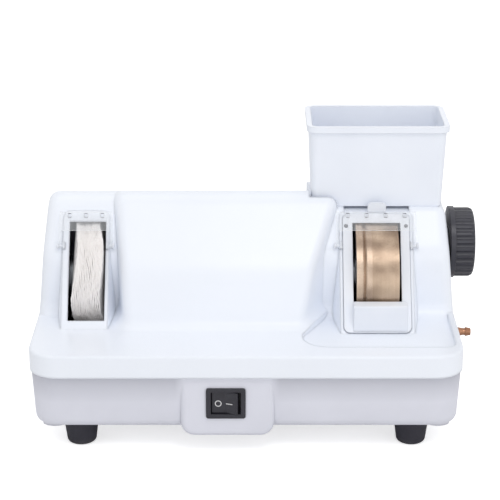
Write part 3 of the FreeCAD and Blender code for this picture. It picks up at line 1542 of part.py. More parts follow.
right_tray = cut(
    "right_tray", right_tray_solid,
    fuse("right_tray_tools", [shaft_hole_right, drain_bore, tray_holes["right_front"], tray_holes["right_back"]]),
)
tray_screws = fuse("tray_screws", [
    bolt("tray_screw_" + name, x, y, s.tray_floor + s.tray_wall, s.bolt_head, s.bolt_head_rise, s.bolt_shank, s.bolt_reach)
    for name, x, y in tray_posts_at
])

# Drain: barbed nipple through the base, its nut and the short hose
nipple_start = drain_face - s.knob_boss_length * 2
nipple_hex = nut("nipple_hex", "X", drain_face, s.drain_y, s.drain_z, s.nipple_hex, s.nipple_hex_thick, None)
tip = s.nipple_tip
barb = s.barb_length
nipple_tube = spun("nipple_tube", [
    (nipple_start, s.drain_bore, None), (tip, s.drain_bore, None), (tip, s.nipple_tube, None),
    (tip - barb, s.barb_radius, None), (tip - barb, s.nipple_tube, None),
    (tip - barb - s.lip_edge_radius, s.nipple_tube, None), (tip - barb * 2 - s.lip_edge_radius, s.barb_radius, None),
    (tip - barb * 2 - s.lip_edge_radius, s.nipple_tube, None), (nipple_start, s.nipple_tube, None),
])
place(nipple_tube, zero, s.drain_y, s.drain_z)
nipple_bore = rod("nipple_bore", "X", drain_face - s.overrun, s.drain_y, s.drain_z, s.drain_bore, s.overrun * 3)
drain_nipple = cut("drain_nipple", fuse("nipple_solid", [nipple_hex, nipple_tube]), nipple_bore)
drain_nut_x = s.cover_post_x + s.post_radius - s.nipple_hex_thick
drain_nut = nut("drain_nut", "X", drain_nut_x, s.drain_y, s.drain_z, s.nipple_hex, s.nipple_hex_thick, s.nipple_tube)
hose_left = s.right_tray_right + s.bearing_groove
drain_hose = ring("drain_hose", "X", hose_left, s.drain_y, s.drain_z, drain_nut_x - hose_left, s.nipple_tube, s.hose_radius)

# Front switch: body with its bezel, metal tabs and the rocker at off
bezel_sketch = sketch_at("bezel_front", "XZ", s.switch_x, s.boss_front_y - s.bezel_thick, s.switch_z)
draw(bezel_sketch, rectangle(
    -s.bezel_width / 2, s.bezel_width / 2, -s.bezel_height / 2, s.bezel_height / 2, s.bezel_radius,
))
bezel = extrude("bezel", bezel_sketch, s.bezel_thick)
switch_block = block(
    "switch_block", s.switch_x - s.switch_width / 2, s.switch_x + s.switch_width / 2, s.boss_front_y - s.bezel_thick / 2,
    s.switch_depth + s.boss_front_y, s.switch_z - s.switch_height / 2, s.switch_z + s.switch_height / 2,
)
well_half = s.rocker_height / 2 + s.rocker_gap
switch_well = block(
    "switch_well", s.switch_x - s.switch_well_half, s.switch_x + s.switch_well_half, s.boss_front_y - s.overrun,
    s.switch_well, s.switch_z - well_half, s.switch_z + well_half,
)
pin_half = s.rocker_height / 2 + s.rocker_pin_out
pin_hole = rod("rocker_pin_hole", "Z", s.switch_x, s.rocker_y, s.switch_z - pin_half, s.rocker_pin + s.run_gap, pin_half * 2)
switch_body = cut("switch_body", fuse("switch_solid", [bezel, switch_block]), fuse("switch_tools", [switch_well, pin_hole]))
tab_start = s.switch_depth + s.boss_front_y
switch_tabs = fuse("switch_tabs", [
    block(
        "switch_tab_" + name, s.switch_x + x - s.tab_width / 2, s.switch_x + x + s.tab_width / 2, tab_start,
        tab_start + s.tab_length, s.switch_z + z - s.tab_thick / 2, s.switch_z + z + s.tab_thick / 2,
    )
    for name, x, z in (
        ("one", -s.tab_pitch / 2, -s.tab_pitch / 2), ("two", s.tab_pitch / 2, -s.tab_pitch / 2),
        ("three", -s.tab_pitch / 2, s.tab_pitch / 2), ("four", s.tab_pitch / 2, s.tab_pitch / 2),
    )
])
rocker_sketch = doc.addObject("Sketcher::SketchObject", "rocker_profile")
rocker_sketch.Placement = FreeCAD.Placement(V(), FreeCAD.Rotation(V(0, 0, 1), 1))
tie(rocker_sketch, "Placement.Rotation.Angle", -s.rocker_angle / 2)
place(rocker_sketch, s.switch_x, s.rocker_y, s.switch_z - s.rocker_height / 2)
draw(rocker_sketch, [
    (-s.rocker_swing, -s.rocker_sink - s.rocker_crest, s.rest_edge / 2), (zero, -s.rocker_sink, None),
    (s.rocker_swing, -s.rocker_sink - s.rocker_crest, s.rest_edge / 2), (s.rocker_swing, -s.rocker_side, None),
    (s.rocker_tail, s.rocker_back, None), (-s.rocker_tail, s.rocker_back, None), (-s.rocker_swing, -s.rocker_side, None),
])
rocker_pin = rod("rocker_pin", "Z", s.switch_x, s.rocker_y, s.switch_z - pin_half + s.rocker_gap, s.rocker_pin, pin_half * 2 - s.rocker_gap * 2)
switch_rocker = fuse("switch_rocker", [extrude("rocker_block", rocker_sketch, s.rocker_height), rocker_pin])

# Mains inlet with its pins and screws
inlet_face = inlet_boss_back_y + s.inlet_flange_thick
flange_sketch = sketch_at("inlet_flange_front", "XZ", s.inlet_x, inlet_boss_back_y, s.inlet_z)
draw(flange_sketch, rectangle(
    -s.inlet_flange_width / 2, s.inlet_flange_width / 2,
    -s.inlet_flange_height / 2, s.inlet_flange_height / 2, s.inlet_flange_radius,
))
inlet_flange = extrude("inlet_flange", flange_sketch, s.inlet_flange_thick)
inlet_block = block(
    "inlet_block", s.inlet_x - s.inlet_body_width / 2, s.inlet_x + s.inlet_body_width / 2,
    inlet_face - s.inlet_depth, inlet_face - s.inlet_flange_thick / 2,
    s.inlet_z - s.inlet_body_height / 2, s.inlet_z + s.inlet_body_height / 2,
)
well_sketch = sketch_at("inlet_well_front", "XZ", s.inlet_x, inlet_face - s.inlet_well_depth, s.inlet_z)
well_x = s.inlet_well_width / 2
well_z = s.inlet_well_height / 2
draw(well_sketch, [
    (-well_x, -well_z, None), (well_x, -well_z, None), (well_x, well_z - s.inlet_well_corner, None),
    (well_x - s.inlet_well_corner, well_z, None), (s.inlet_well_corner - well_x, well_z, None),
    (-well_x, well_z - s.inlet_well_corner, None),
])
inlet_tools = [extrude("inlet_well", well_sketch, s.inlet_well_depth + s.overrun)]
pins = []
for name, x, z in (("left", -s.pin_pitch, -s.pin_rise), ("earth", zero, s.pin_rise), ("right", s.pin_pitch, -s.pin_rise)):
    pins.append(block(
        "inlet_pin_" + name, s.inlet_x + x - s.pin_thick / 2, s.inlet_x + x + s.pin_thick / 2,
        inlet_face - s.inlet_well_depth, inlet_face - s.inlet_well_depth + s.pin_length,
        s.inlet_z + z - s.pin_width / 2, s.inlet_z + z + s.pin_width / 2,
    ))
inlet_screw_parts = []
for name, x in (("left", -s.inlet_screw_pitch / 2), ("right", s.inlet_screw_pitch / 2)):
    inlet_tools.append(rod("inlet_screw_hole_" + name, "Y", s.inlet_x + x, inlet_boss_back_y - s.overrun, s.inlet_z, s.frame_screw_shank, s.overrun * 2))
    inlet_screw_parts.append(rod("inlet_shank_" + name, "Y", s.inlet_x + x, inlet_boss_back_y - s.pad_rise, s.inlet_z, s.frame_screw_shank, s.pad_rise + s.inlet_flange_thick))
    inlet_screw_parts.append(rod("inlet_head_" + name, "Y", s.inlet_x + x, inlet_face, s.inlet_z, s.frame_screw_head, s.frame_screw_rise))
power_inlet = cut("power_inlet", fuse("inlet_solid", [inlet_flange, inlet_block]), fuse("inlet_tools", inlet_tools))
inlet_pins = fuse("inlet_pins", pins)
inlet_screws = fuse("inlet_screws", inlet_screw_parts)

# Side hand knob on its stud and bush
knob_start = s.knob_face + s.knob_gap
knob_end = knob_start + s.knob_length
knob_form = turned("knob_form", "X", zero, s.knob_y, knob_level, [
    (knob_start, s.stud_radius, None), (knob_start, s.knob_radius, None),
    (knob_start + s.knob_skirt, s.knob_radius, None), (knob_start + s.knob_skirt, s.knob_grip_radius, None),
    (knob_end, s.knob_grip_radius, s.knob_round), (knob_end, s.knob_dish_radius, None),
    (knob_end - s.knob_dish, s.knob_dish_radius, None), (knob_end - s.knob_dish, zero, None),
    (knob_start + s.stud_grip, zero, None), (knob_start + s.stud_grip, s.stud_radius, None),
])
notches = []
for number in range(KNOB_NOTCHES):
    turn = Size(360.0 / KNOB_NOTCHES * number, repr(360.0 / KNOB_NOTCHES * number))
    reach_out = s.knob_grip_radius + s.notch_radius - s.notch_depth
    notch = rod("knob_notch_%d" % (number + 1), "X", knob_start + s.knob_skirt, s.knob_y, knob_level, s.notch_radius, s.knob_length)
    tie(notch, "Placement.Base.y", back(s.knob_y) + reach_out * cosine(turn))
    tie(notch, "Placement.Base.z", knob_level + reach_out * sine(turn))
    notches.append(notch)
side_knob = cut("side_knob", knob_form, fuse("knob_notches", notches))
stud_length = knob_start + s.stud_grip - s.stud_inner
knob_stud = rod("knob_stud", "X", s.stud_inner, s.knob_y, knob_level, s.stud_radius, stud_length)
bush_inner = s.knob_face - s.knob_boss_length - s.bush_flange_thick
knob_bush = turned("knob_bush", "X", zero, s.knob_y, knob_level, [
    (bush_inner, s.stud_radius + s.run_gap, None), (s.knob_face, s.stud_radius + s.run_gap, None),
    (s.knob_face, s.bush_radius, None), (bush_inner + s.bush_flange_thick, s.bush_radius, None),
    (bush_inner + s.bush_flange_thick, s.bush_flange, None), (bush_inner, s.bush_flange, None),
])
lock_x = bush_inner - s.rocker_gap - s.lock_thick
knob_lock = nut("knob_lock", "X", lock_x, s.knob_y, knob_level, s.lock_flat, s.lock_thick, s.stud_radius)

# Water tank and the tap under it
tank_middle = s.tank_front_y + s.tank_depth / 2


def tank_form(name, shrink, low):
    owner = body(name)
    place(owner, s.tank_x, tank_middle, zero)
    sketch = plane_sketch(owner, name + "_plan", "XY", seat_level + s.tank_height)
    across = s.tank_width / 2 - shrink
    deep = s.tank_depth / 2 - shrink
    draw(sketch, rectangle(-across, across, -deep, deep, s.tank_corner - shrink))
    pad(owner, name + "_pad", sketch, seat_level + s.tank_height - low, back_way=True, taper=-s.tank_draft)
    return owner


tank_rim_sketch = sketch_at("tank_rim_plan", "XY", s.tank_x, tank_middle, seat_level + s.tank_height - s.tank_rim_height)
rim_x = s.tank_width / 2 + s.tank_rim_out
rim_y = s.tank_depth / 2 + s.tank_rim_out
draw(tank_rim_sketch, rectangle(-rim_x, rim_x, -rim_y, rim_y, s.tank_corner + s.tank_rim_out))
tank_rim = extrude("tank_rim", tank_rim_sketch, s.tank_rim_height)
tank_solid = fuse("tank_solid", [tank_form("tank_outer", zero, seat_level), tank_rim])
tank_shell = cut("tank_shell", tank_solid, tank_form("tank_inner", s.tank_wall, seat_level + s.tank_wall))
tank_spigot = rod("tank_spigot", "Z", s.spout_x, s.spout_y, seat_level - s.spout_length, s.spout_radius, s.spout_length + s.tank_wall / 2)
tank_bore = rod("tank_bore", "Z", s.spout_x, s.spout_y, seat_level - s.spout_length - s.overrun, s.spout_bore, s.spout_length + s.overrun * 2)
water_tank = cut("water_tank", fuse("tank_with_spigot", [tank_shell, tank_spigot]), tank_bore)
neck_top = channel_floor + s.neck_rise
tap_low = ceiling - s.tap_flange_thick - s.tap_drop
tap_bore = s.spout_radius + s.fit_gap
cup_low = seat_level - s.spout_length - s.fit_gap
tap_body = turned("tap_body", "Z", s.spout_x, s.spout_y, zero, [
    (tap_low - s.tip_length, s.drain_bore, None), (tap_low - s.tip_length, s.tip_radius, None),
    (tap_low, s.tip_radius, None), (tap_low, s.tap_radius, None), (ceiling - s.tap_flange_thick, s.tap_radius, None),
    (ceiling - s.tap_flange_thick, s.tap_flange_radius, None), (ceiling, s.tap_flange_radius, None),
    (ceiling, s.neck_radius, None), (neck_top, s.neck_radius, None), (neck_top, tap_bore, None),
    (cup_low, tap_bore, None), (cup_low, s.drain_bore, None),
])
lever_low = channel_floor + s.lever_lift
lever_high = neck_top - s.fit_gap
lever_hole = s.neck_radius + s.run_gap
lever_tools = rod("lever_bore", "Z", s.spout_x, s.spout_y, channel_floor, lever_hole, s.overrun)
lever_ring = rod("lever_ring", "Z", s.spout_x, s.spout_y, lever_low, s.lever_ring, lever_high - lever_low)
lever_arm = block("lever_arm", s.spout_x - s.lever_width / 2, s.spout_x + s.lever_width / 2, s.lever_front_y - s.grip_thick, s.spout_y, lever_low, lever_high)
grip_sketch = sketch_at("lever_grip_front", "XZ", s.spout_x, s.lever_front_y - s.grip_thick, zero)
draw(grip_sketch, [
    (-s.grip_width / 2, lever_low, None), (s.grip_width / 2, lever_low, None),
    (s.grip_width / 2, lever_low + s.grip_height, s.grip_round), (-s.grip_width / 2, lever_low + s.grip_height, s.grip_round),
])
lever_grip = extrude("lever_grip", grip_sketch, s.grip_thick)
tap_lever = cut("tap_lever", fuse("lever_solid", [lever_ring, lever_arm, lever_grip]), lever_tools)


# Clear guards over the wheel windows, and their pivot screws


def guard(side, centre, width, slots, pitch):
    """A bent clear sheet with two side arms that hang on the pivots."""
    name = side + "_guard"
    half = guard_half(width)
    outer = half + s.guard_thick
    profile = doc.addObject("Sketcher::SketchObject", name + "_profile")
    profile.Placement = FreeCAD.Placement(V(), PLANE_TURNS["YZ"])
    rise = s.guard_front_h - s.guard_back_h
    run = s.guard_back_t - s.guard_front_t
    slope = rise / run
    top = s.guard_back_t - s.guard_pivot_t
    front = s.guard_front_t - s.guard_pivot_t
    back_h = s.guard_back_h - s.guard_pivot_h
    front_h = s.guard_front_h - s.guard_pivot_h
    arm = s.guard_arm
    draw(profile, [
        (-arm, -arm, s.guard_corner), (arm, -arm, s.guard_corner), (top, back_h - s.guard_thick, None), (top, back_h, None),
        (front, front_h, s.rest_edge), (front - s.guard_lip, front_h - s.guard_lip, None), (-arm, arm, None),
    ])
    solid = extrude(name + "_block", profile, outer * 2)
    lean_to(solid, centre - outer, side)
    inner = doc.addObject("Sketcher::SketchObject", name + "_inside")
    inner.Placement = FreeCAD.Placement(V(), PLANE_TURNS["YZ"])
    sheet_h = s.guard_thick * Size(math.sqrt(1 + slope.value ** 2), "sqrt(1 + " + slope.formula + " ^ 2)")
    far = top + s.overrun
    near = -arm - s.overrun
    draw(inner, [
        (near, -arm - s.overrun * 2, None), (far, -arm - s.overrun * 2, None),
        (far, back_h - slope * s.overrun - sheet_h, None),
        (near, front_h + slope * (front - near) - sheet_h, None),
    ])
    hollow = extrude(name + "_hollow", inner, half * 2)
    lean_to(hollow, centre - half, side)
    tools = [hollow]
    hole = rod(name + "_pivot_hole", "X", centre - outer - s.overrun, pivot_behind, pivot_level, s.pivot_radius + s.run_gap, outer * 2 + s.overrun * 2)
    tools.append(hole)
    slot_high = s.guard_back_t - s.guard_slot_inset
    for number in range(slots):
        middle = centre + pitch * (number - (slots - 1) / 2)
        tools.append(leaning_box(
            name + "_slot_%d" % (number + 1), middle - s.guard_slot_wide / 2, middle + s.guard_slot_wide / 2,
            slot_high - s.guard_slot_long, slot_high, zero, s.guard_front_h + s.overrun,
        ))
    return cut(name, solid, fuse(name + "_tools", tools))


def lean_to(thing, across, side):
    """Lean a guard feature drawn about its pivot."""
    thing.Placement = FreeCAD.Placement(V(), FreeCAD.Rotation(V(1, 0, 0), 1))
    tie(thing, "Placement.Rotation.Angle", s.pod_lean)
    return place(thing, across, pivot_behind, pivot_level)


guards = {side + "_guard": guard(side, *sizes) for side, sizes in GUARDS.items()}
guard_pivots = []
for side, (centre, width, slots, pitch) in GUARDS.items():
    outer = guard_half(width) + s.guard_thick + s.fit_gap
    for hand, start, head in (
        ("left", centre - outer, centre - outer - s.pivot_head_thick),
        ("right", centre + outer - s.pivot_grip - s.guard_thick - s.fit_gap, centre + outer),
    ):
        name = side + "_pivot_" + hand
        grip = s.pivot_grip + s.guard_thick + s.fit_gap
        guard_pivots.append(rod(name + "_shank", "X", start, pivot_behind, pivot_level, s.pivot_radius, grip))
        guard_pivots.append(rod(name + "_head", "X", head, pivot_behind, pivot_level, s.pivot_head, s.pivot_head_thick))
guard_screws = fuse("guard_screws", guard_pivots)

# Capacitor with its clip, and the terminal block on the base floor
cap_level = floor + s.cap_radius
motor_capacitor = rod("motor_capacitor", "X", s.cap_x - s.cap_length / 2, s.cap_y, cap_level, s.cap_radius, s.cap_length)
clip_left = s.cap_x - s.clip_width / 2
clip_radius = s.cap_radius + s.clip_thick
clip_ring = rod("clip_ring", "X", clip_left, s.cap_y, cap_level, clip_radius, s.clip_width)
clip_sides = block("clip_sides", clip_left, clip_left + s.clip_width, s.cap_y - clip_radius, s.cap_y + clip_radius, floor, cap_level)
clip_feet = block(
    "clip_feet", clip_left, clip_left + s.clip_width, s.cap_y - clip_radius - s.clip_foot,
    s.cap_y + clip_radius + s.clip_foot, floor, floor + s.clip_thick,
)
clip_tools = [
    rod("clip_bore", "X", clip_left - s.overrun, s.cap_y, cap_level, s.cap_radius, s.clip_width + s.overrun * 2),
    block("clip_gap", clip_left - s.overrun, clip_left + s.clip_width + s.overrun, s.cap_y - s.cap_radius, s.cap_y + s.cap_radius, zero, cap_level),
    block("clip_under", clip_left - s.overrun, clip_left + s.clip_width + s.overrun, zero, s.body_depth, zero, floor),
]
capacitor_clip = cut("capacitor_clip", fuse("clip_solid", [clip_ring, clip_sides, clip_feet]), fuse("clip_tools", clip_tools))
block_left = s.block_x - s.block_length / 2
block_solid = block("terminal_solid", block_left, block_left + s.block_length, s.block_y - s.block_depth / 2, s.block_y + s.block_depth / 2, floor, floor + s.block_height)
block_tools = []
block_screws = []
for number in range(BLOCK_WAYS):
    x = s.block_x + s.block_pitch * (number - (BLOCK_WAYS - 1) / 2)
    low = floor + s.block_height - s.block_well
    block_tools.append(rod("block_well_%d" % (number + 1), "Z", x, s.block_y, low, s.block_screw, s.block_well * 2))
    block_screws.append(rod("block_screw_%d" % (number + 1), "Z", x, s.block_y, low, s.block_screw, s.block_well / 2))
terminal_block = cut("terminal_block", block_solid, fuse("block_tools", block_tools))
terminal_screws = fuse("terminal_screws", block_screws)

NODES = {
    "base_tub": base_tub, "top_cover": top_cover, "foot_screws": foot_screws, "cover_screws": cover_screws,
    "wheel_frame": wheel_frame, "frame_screws": frame_screws, "lens_rest": lens_rest,
    "spindle_shaft": spindle_shaft, "wheel_core": wheel_core, "finish_rim": finish_rim, "rough_rim": rough_rim,
    "buffing_wheel": buffing_wheel, "wheel_flanges": wheel_flanges, "buff_flanges": buff_flanges,
    "wheel_nut": wheel_nut, "buff_nut": buff_nut, "shaft_slingers": shaft_slingers, "rotor_core": rotor_core,
    "cooling_fan": cooling_fan, "motor_shell": motor_shell, "motor_end_left": motor_end_left,
    "motor_end_right": motor_end_right, "motor_bearings": motor_bearings, "guard_screws": guard_screws,
    "stator_core": stator_core, "stator_windings": stator_windings, "motor_cradle": motor_cradle,
    "cradle_bolts": cradle_bolts, "motor_straps": motor_straps, "strap_bolts": strap_bolts,
    "left_tray": left_tray, "right_tray": right_tray, "tray_screws": tray_screws,
    "drain_nipple": drain_nipple, "drain_nut": drain_nut, "drain_hose": drain_hose,
    "switch_body": switch_body, "switch_tabs": switch_tabs, "switch_rocker": switch_rocker,
    "power_inlet": power_inlet, "inlet_pins": inlet_pins, "inlet_screws": inlet_screws,
    "side_knob": side_knob, "knob_stud": knob_stud, "knob_bush": knob_bush, "knob_lock": knob_lock,
    "water_tank": water_tank, "tap_body": tap_body, "tap_lever": tap_lever,
    "motor_capacitor": motor_capacitor, "capacitor_clip": capacitor_clip,
    "terminal_block": terminal_block, "terminal_screws": terminal_screws,
}
NODES.update(feet)
NODES.update(guards)

doc.recompute()
for thing in doc.Objects:
    if "Invalid" in thing.State or "Error" in thing.State:
        raise RuntimeError(thing.Name + " did not build: " + str(thing.State))
os.makedirs("parts", exist_ok=True)
for name, thing in NODES.items():
    shape = thing.Shape
    if shape.isNull() or not shape.isValid() or not shape.Solids:
        raise RuntimeError(name + " has no valid solid")
    shape.exportStep("parts/" + name + ".step")
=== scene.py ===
"""Looks of a bench edger for spectacle lenses, built round its CAD model."""
import math
import random

import bmesh
import bpy
from mathutils import Matrix, Vector, noise
from mathutils.bvhtree import BVHTree


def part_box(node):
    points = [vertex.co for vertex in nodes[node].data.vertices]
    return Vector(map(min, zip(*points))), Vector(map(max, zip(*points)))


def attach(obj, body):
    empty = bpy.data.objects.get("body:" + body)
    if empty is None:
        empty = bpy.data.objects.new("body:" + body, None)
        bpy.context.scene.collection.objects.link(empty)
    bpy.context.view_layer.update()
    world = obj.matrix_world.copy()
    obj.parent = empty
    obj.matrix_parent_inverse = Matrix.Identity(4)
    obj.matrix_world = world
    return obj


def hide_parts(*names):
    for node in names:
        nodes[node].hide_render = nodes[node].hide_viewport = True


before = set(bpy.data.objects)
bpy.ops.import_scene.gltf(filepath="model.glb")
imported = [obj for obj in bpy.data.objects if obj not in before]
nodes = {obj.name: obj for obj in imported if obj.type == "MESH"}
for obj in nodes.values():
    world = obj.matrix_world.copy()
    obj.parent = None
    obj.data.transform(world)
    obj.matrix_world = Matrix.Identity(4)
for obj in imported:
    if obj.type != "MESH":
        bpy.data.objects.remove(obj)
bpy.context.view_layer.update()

# Base tub: the lower half of the case, with the boss of the switch in front.
# Moulded in one piece in a light grey-white plastic with a fine, even matt
# grain; the rim of the cover sits over it and hides its joint.


def chip(code):
    """The linear colour of a paint chip given by its hexadecimal code."""
    parts = [int(code[place:place + 2], 16) / 255 for place in (0, 2, 4)]
    return [p / 12.92 if p <= 0.04045 else ((p + 0.055) / 1.055) ** 2.4 for p in parts] + [1.0]


def feed(tree, node, inputs):
    """A value or a link for each input of a node."""
    for socket, value in inputs.items():
        if isinstance(value, bpy.types.NodeSocket):
            tree.links.new(value, node.inputs[socket])
        else:
            node.inputs[socket].default_value = value


def put(tree, kind, inputs=None, **settings):
    """One node of a tree, with its settings and its inputs."""
    made = tree.nodes.new(kind)
    for setting, value in settings.items():
        setattr(made, setting, value)
    feed(tree, made, inputs or {})
    return made


def new_effect(name, inputs, outputs):
    """A shader node group with named sockets, what it is given, and the node that puts out."""
    group = bpy.data.node_groups.new(name, "ShaderNodeTree")
    for title, value in inputs.items():
        socket = group.interface.new_socket(title, in_out="INPUT", socket_type="NodeSocketFloat")
        socket.default_value = value
    for title, kind in outputs.items():
        group.interface.new_socket(title, in_out="OUTPUT", socket_type=kind)
    return group, group.nodes.new("NodeGroupInput").outputs, group.nodes.new("NodeGroupOutput")


def mixed(tree, factor, first, second):
    """The colour between two colours."""
    return put(tree, "ShaderNodeMix", {0: factor, 6: first, 7: second}, data_type="RGBA").outputs[2]


def sums(tree, operation, *values):
    """One step of arithmetic."""
    return put(tree, "ShaderNodeMath", dict(enumerate(values)), operation=operation).outputs[0]


def spread(tree, value, low, high, to_low, to_high):
    """A value moved from one range to another."""
    return put(tree, "ShaderNodeMapRange", {0: value, 1: low, 2: high, 3: to_low, 4: to_high}).outputs[0]


def patches(tree, cloud, low, high, most=1.0):
    """How much of a second colour a noise lets through."""
    return spread(tree, cloud, low, high, 0.0, most)


def uneven(tree, cloud, smoothest, roughest):
    """A roughness that a noise moves between two bounds."""
    return spread(tree, cloud, 0.3, 0.7, smoothest, roughest)


def object_place(tree):
    """Where a spot lies, in the frame of the piece itself."""
    return put(tree, "ShaderNodeTexCoord").outputs["Object"]


def axes_of(tree, way):
    """The X, Y and Z of a place or a direction."""
    return put(tree, "ShaderNodeSeparateXYZ", {0: way}).outputs


def noisy(tree, place, scale, detail=3.0):
    """Noise of one scale at a place."""
    return put(tree, "ShaderNodeTexNoise", {"Vector": place, "Scale": scale, "Detail": detail}).outputs[0]


def raised(tree, depth, height, **base):
    """The normal of a skin that a pattern raises."""
    return put(tree, "ShaderNodeBump", {"Distance": depth, "Height": height, **base}).outputs[0]


# The grain that a spark-eroded mould leaves, the faint clouds of its colour, and its soft corners
moulded_grain, wanted, given = new_effect(
    "moulded_grain", {"Grain": 2400.0, "Depth": 0.00001, "Clouds": 30.0, "Corner": 0.0008},
    {"Cloud": "NodeSocketFloat", "Speck": "NodeSocketFloat", "Normal": "NodeSocketVector"},
)
place = object_place(moulded_grain)
speck = noisy(moulded_grain, place, wanted["Grain"], 2.0)
cloud = noisy(moulded_grain, place, wanted["Clouds"])
soft_corner = put(moulded_grain, "ShaderNodeBevel", {"Radius": wanted["Corner"]}, samples=4).outputs[0]
feed(moulded_grain, given, {
    "Normal": raised(moulded_grain, wanted["Depth"], speck, Normal=soft_corner),
    "Cloud": patches(moulded_grain, cloud, 0.35, 0.65),
    "Speck": speck,
})


def blank(name):
    """A material with nothing but its Principled shader, its tree and that shader."""
    made = bpy.data.materials.new(name)
    made.use_nodes = True
    return made, made.node_tree, made.node_tree.nodes["Principled BSDF"]


def moulded(name, colour, tone, rough, grain=2400.0, depth=0.00001, clouds=30.0, corner=0.0008):
    """A moulded plastic: its colour, the tone of its clouds, its roughness, grain and soft corners."""
    made, tree, shader = blank(name)
    sizes = {"Grain": grain, "Depth": depth, "Clouds": clouds, "Corner": corner}
    skin = put(tree, "ShaderNodeGroup", sizes, node_tree=moulded_grain).outputs
    feed(tree, shader, {
        "Base Color": mixed(tree, skin["Cloud"], chip(colour), chip(tone)),
        "Roughness": uneven(tree, skin["Speck"], rough - 0.04, rough + 0.04),
        "Normal": skin["Normal"],
    })
    return made


def dress(finish, *names):
    """Gives CAD pieces their finish."""
    for name in names:
        for material_place in nodes[name].material_slots:
            material_place.material = finish


def placed(name, shape):
    """An object in the scene, with a mesh, a lamp or a camera."""
    made = bpy.data.objects.new(name, shape)
    bpy.context.scene.collection.objects.link(made)
    return made


def reshaped(name, rule, rides, slot, *finishes):
    """A copy of a CAD piece, with its corners moved by a rule, that stands in its place."""
    shape = nodes[name].data.copy()
    shape.name = name + "_fitted"
    for corner in shape.vertices:
        corner.co = rule(corner.co.copy())
    shape.materials.clear()
    for finish in finishes:
        shape.materials.append(finish)
    piece = placed(name + "_fitted", shape)
    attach(piece, rides)
    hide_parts(name)
    return piece


# The shade under the cover's rim: all round, but for the middle of the front, where the boss stands out
base_white = moulded("base_white", "DFE0EA", "DBDCE6", 0.5, depth=0.000012, corner=0.003)
shade_foot, tub_top = 0.044, 0.067
boss_middle, boss_half, boss_clear = -0.02445, 0.034, 0.041
back_start, back_end = 0.0, 0.02
tree = base_white.node_tree
tone = tree.nodes["Principled BSDF"].inputs["Base Color"]
spot = axes_of(tree, object_place(tree))
under_rim = spread(tree, spot["Z"], shade_foot, tub_top, 0.0, 1.0)
off_boss = sums(tree, "ABSOLUTE", sums(tree, "SUBTRACT", spot["X"], boss_middle))
beside_boss = spread(tree, off_boss, boss_half, boss_clear, 0.0, 1.0)
at_back = spread(tree, spot["Y"], back_start, back_end, 0.0, 1.0)
shaded = sums(tree, "MULTIPLY", under_rim, sums(tree, "MAXIMUM", beside_boss, at_back))
tree.links.new(mixed(tree, shaded, tone.links[0].from_socket, chip("BFC0CA")), tone)

# The tub's plan and draft as the CAD has them, and the small draft of the photographed sides
body_middle, side_limit = -0.00975, 0.1694
tub_half_width, tub_half_depth, tub_corner = 0.168, 0.105, 0.0215
tub_slope, side_slope = math.tan(math.radians(8.5)), math.tan(math.radians(3.0))
tub_floor, floor_skin, floor_band = 0.020, 0.0105, 0.03
side_set_out, side_skin, rim_slack = 0.0012, 0.0045, 0.0001


def upright_sides(corner):
    """The tub's left and right sides stood up to a small draft, while front and back stay."""
    down = tub_top - corner.z
    if down < -rim_slack:
        return corner
    across = corner.x - body_middle
    over_x = abs(across) - (tub_half_width - tub_corner)
    over_y = abs(corner.y) - (tub_half_depth - tub_corner)
    reach_x, reach_y = max(over_x, 0.0), max(over_y, 0.0)
    reach = math.hypot(reach_x, reach_y)
    inside = tub_corner - down * tub_slope - (reach or max(over_x, over_y))
    if corner.z < tub_floor + floor_skin:
        weight = min(max(1 - (inside - side_skin) / floor_band, 0.0), 1.0)
    else:
        weight = 1.0 if inside < side_skin else 0.0
    if not reach or not weight:
        return corner
    step = weight * (side_set_out + down * (tub_slope - side_slope))
    x = corner.x + math.copysign(step * reach_x / reach, across)
    return Vector((min(x, body_middle + side_limit), corner.y, corner.z))


reshaped("base_tub", upright_sides, "housing", "base_white", base_white)

# Feet: four rubber buffers, each pulled against the floor of the base by a
# screw up its middle. Matt black, with a little dust at the foot.

dust_height, dust_most = 0.006, 0.35
black_rubber, tree, shader = blank("black_rubber")
skin = put(tree, "ShaderNodeGroup", {"Grain": 1500.0, "Depth": 0.00003}, node_tree=moulded_grain).outputs
low = spread(tree, axes_of(tree, object_place(tree))["Z"], 0.0, dust_height, 1.0, 0.0)
dust = sums(tree, "MULTIPLY", low, sums(tree, "MULTIPLY", skin["Cloud"], dust_most))
feed(tree, shader, {
    "Base Color": mixed(tree, dust, chip("292832"), chip("6E6C6A")),
    "Roughness": uneven(tree, skin["Speck"], 0.62, 0.78),
    "Normal": skin["Normal"],
})
dress(black_rubber, "foot_left_front", "foot_right_front", "foot_left_back", "foot_right_back")

# Screws, nuts, straps and clip: steel with bright zinc plate, which has a faint
# wavy lustre and is darker where it is thin. The screws that hold the trays,
# the cover, the inlet and the wheel's frame have a pan head with a cross in it.

patch_scale, pit_depth = 180.0, 0.00001


def plated(name, colour, patch, rough, grain=900.0):
    """A plated or cast metal with patches of another tone."""
    made, tree, shader = blank(name)
    place = object_place(tree)
    cloud = noisy(tree, place, patch_scale, 4.0)
    feed(tree, shader, {
        "Base Color": mixed(tree, patches(tree, cloud, 0.4, 0.7), chip(colour), chip(patch)),
        "Roughness": uneven(tree, cloud, rough - 0.06, rough + 0.08),
        "Normal": raised(tree, pit_depth, noisy(tree, place, grain)),
        "Metallic": 1.0,
    })
    return made


zinc = plated("zinc_plate", "C4C7CC", "A3A7AE", 0.32)
dress(zinc, "foot_screws", "cradle_bolts", "motor_straps", "strap_bolts", "capacitor_clip",
      "knob_lock", "wheel_nut", "buff_nut")


def circle(radius, count):
    """Evenly spaced places round a circle."""
    turns = [math.tau * k / count for k in range(count)]
    return [(radius * math.cos(turn), radius * math.sin(turn)) for turn in turns]


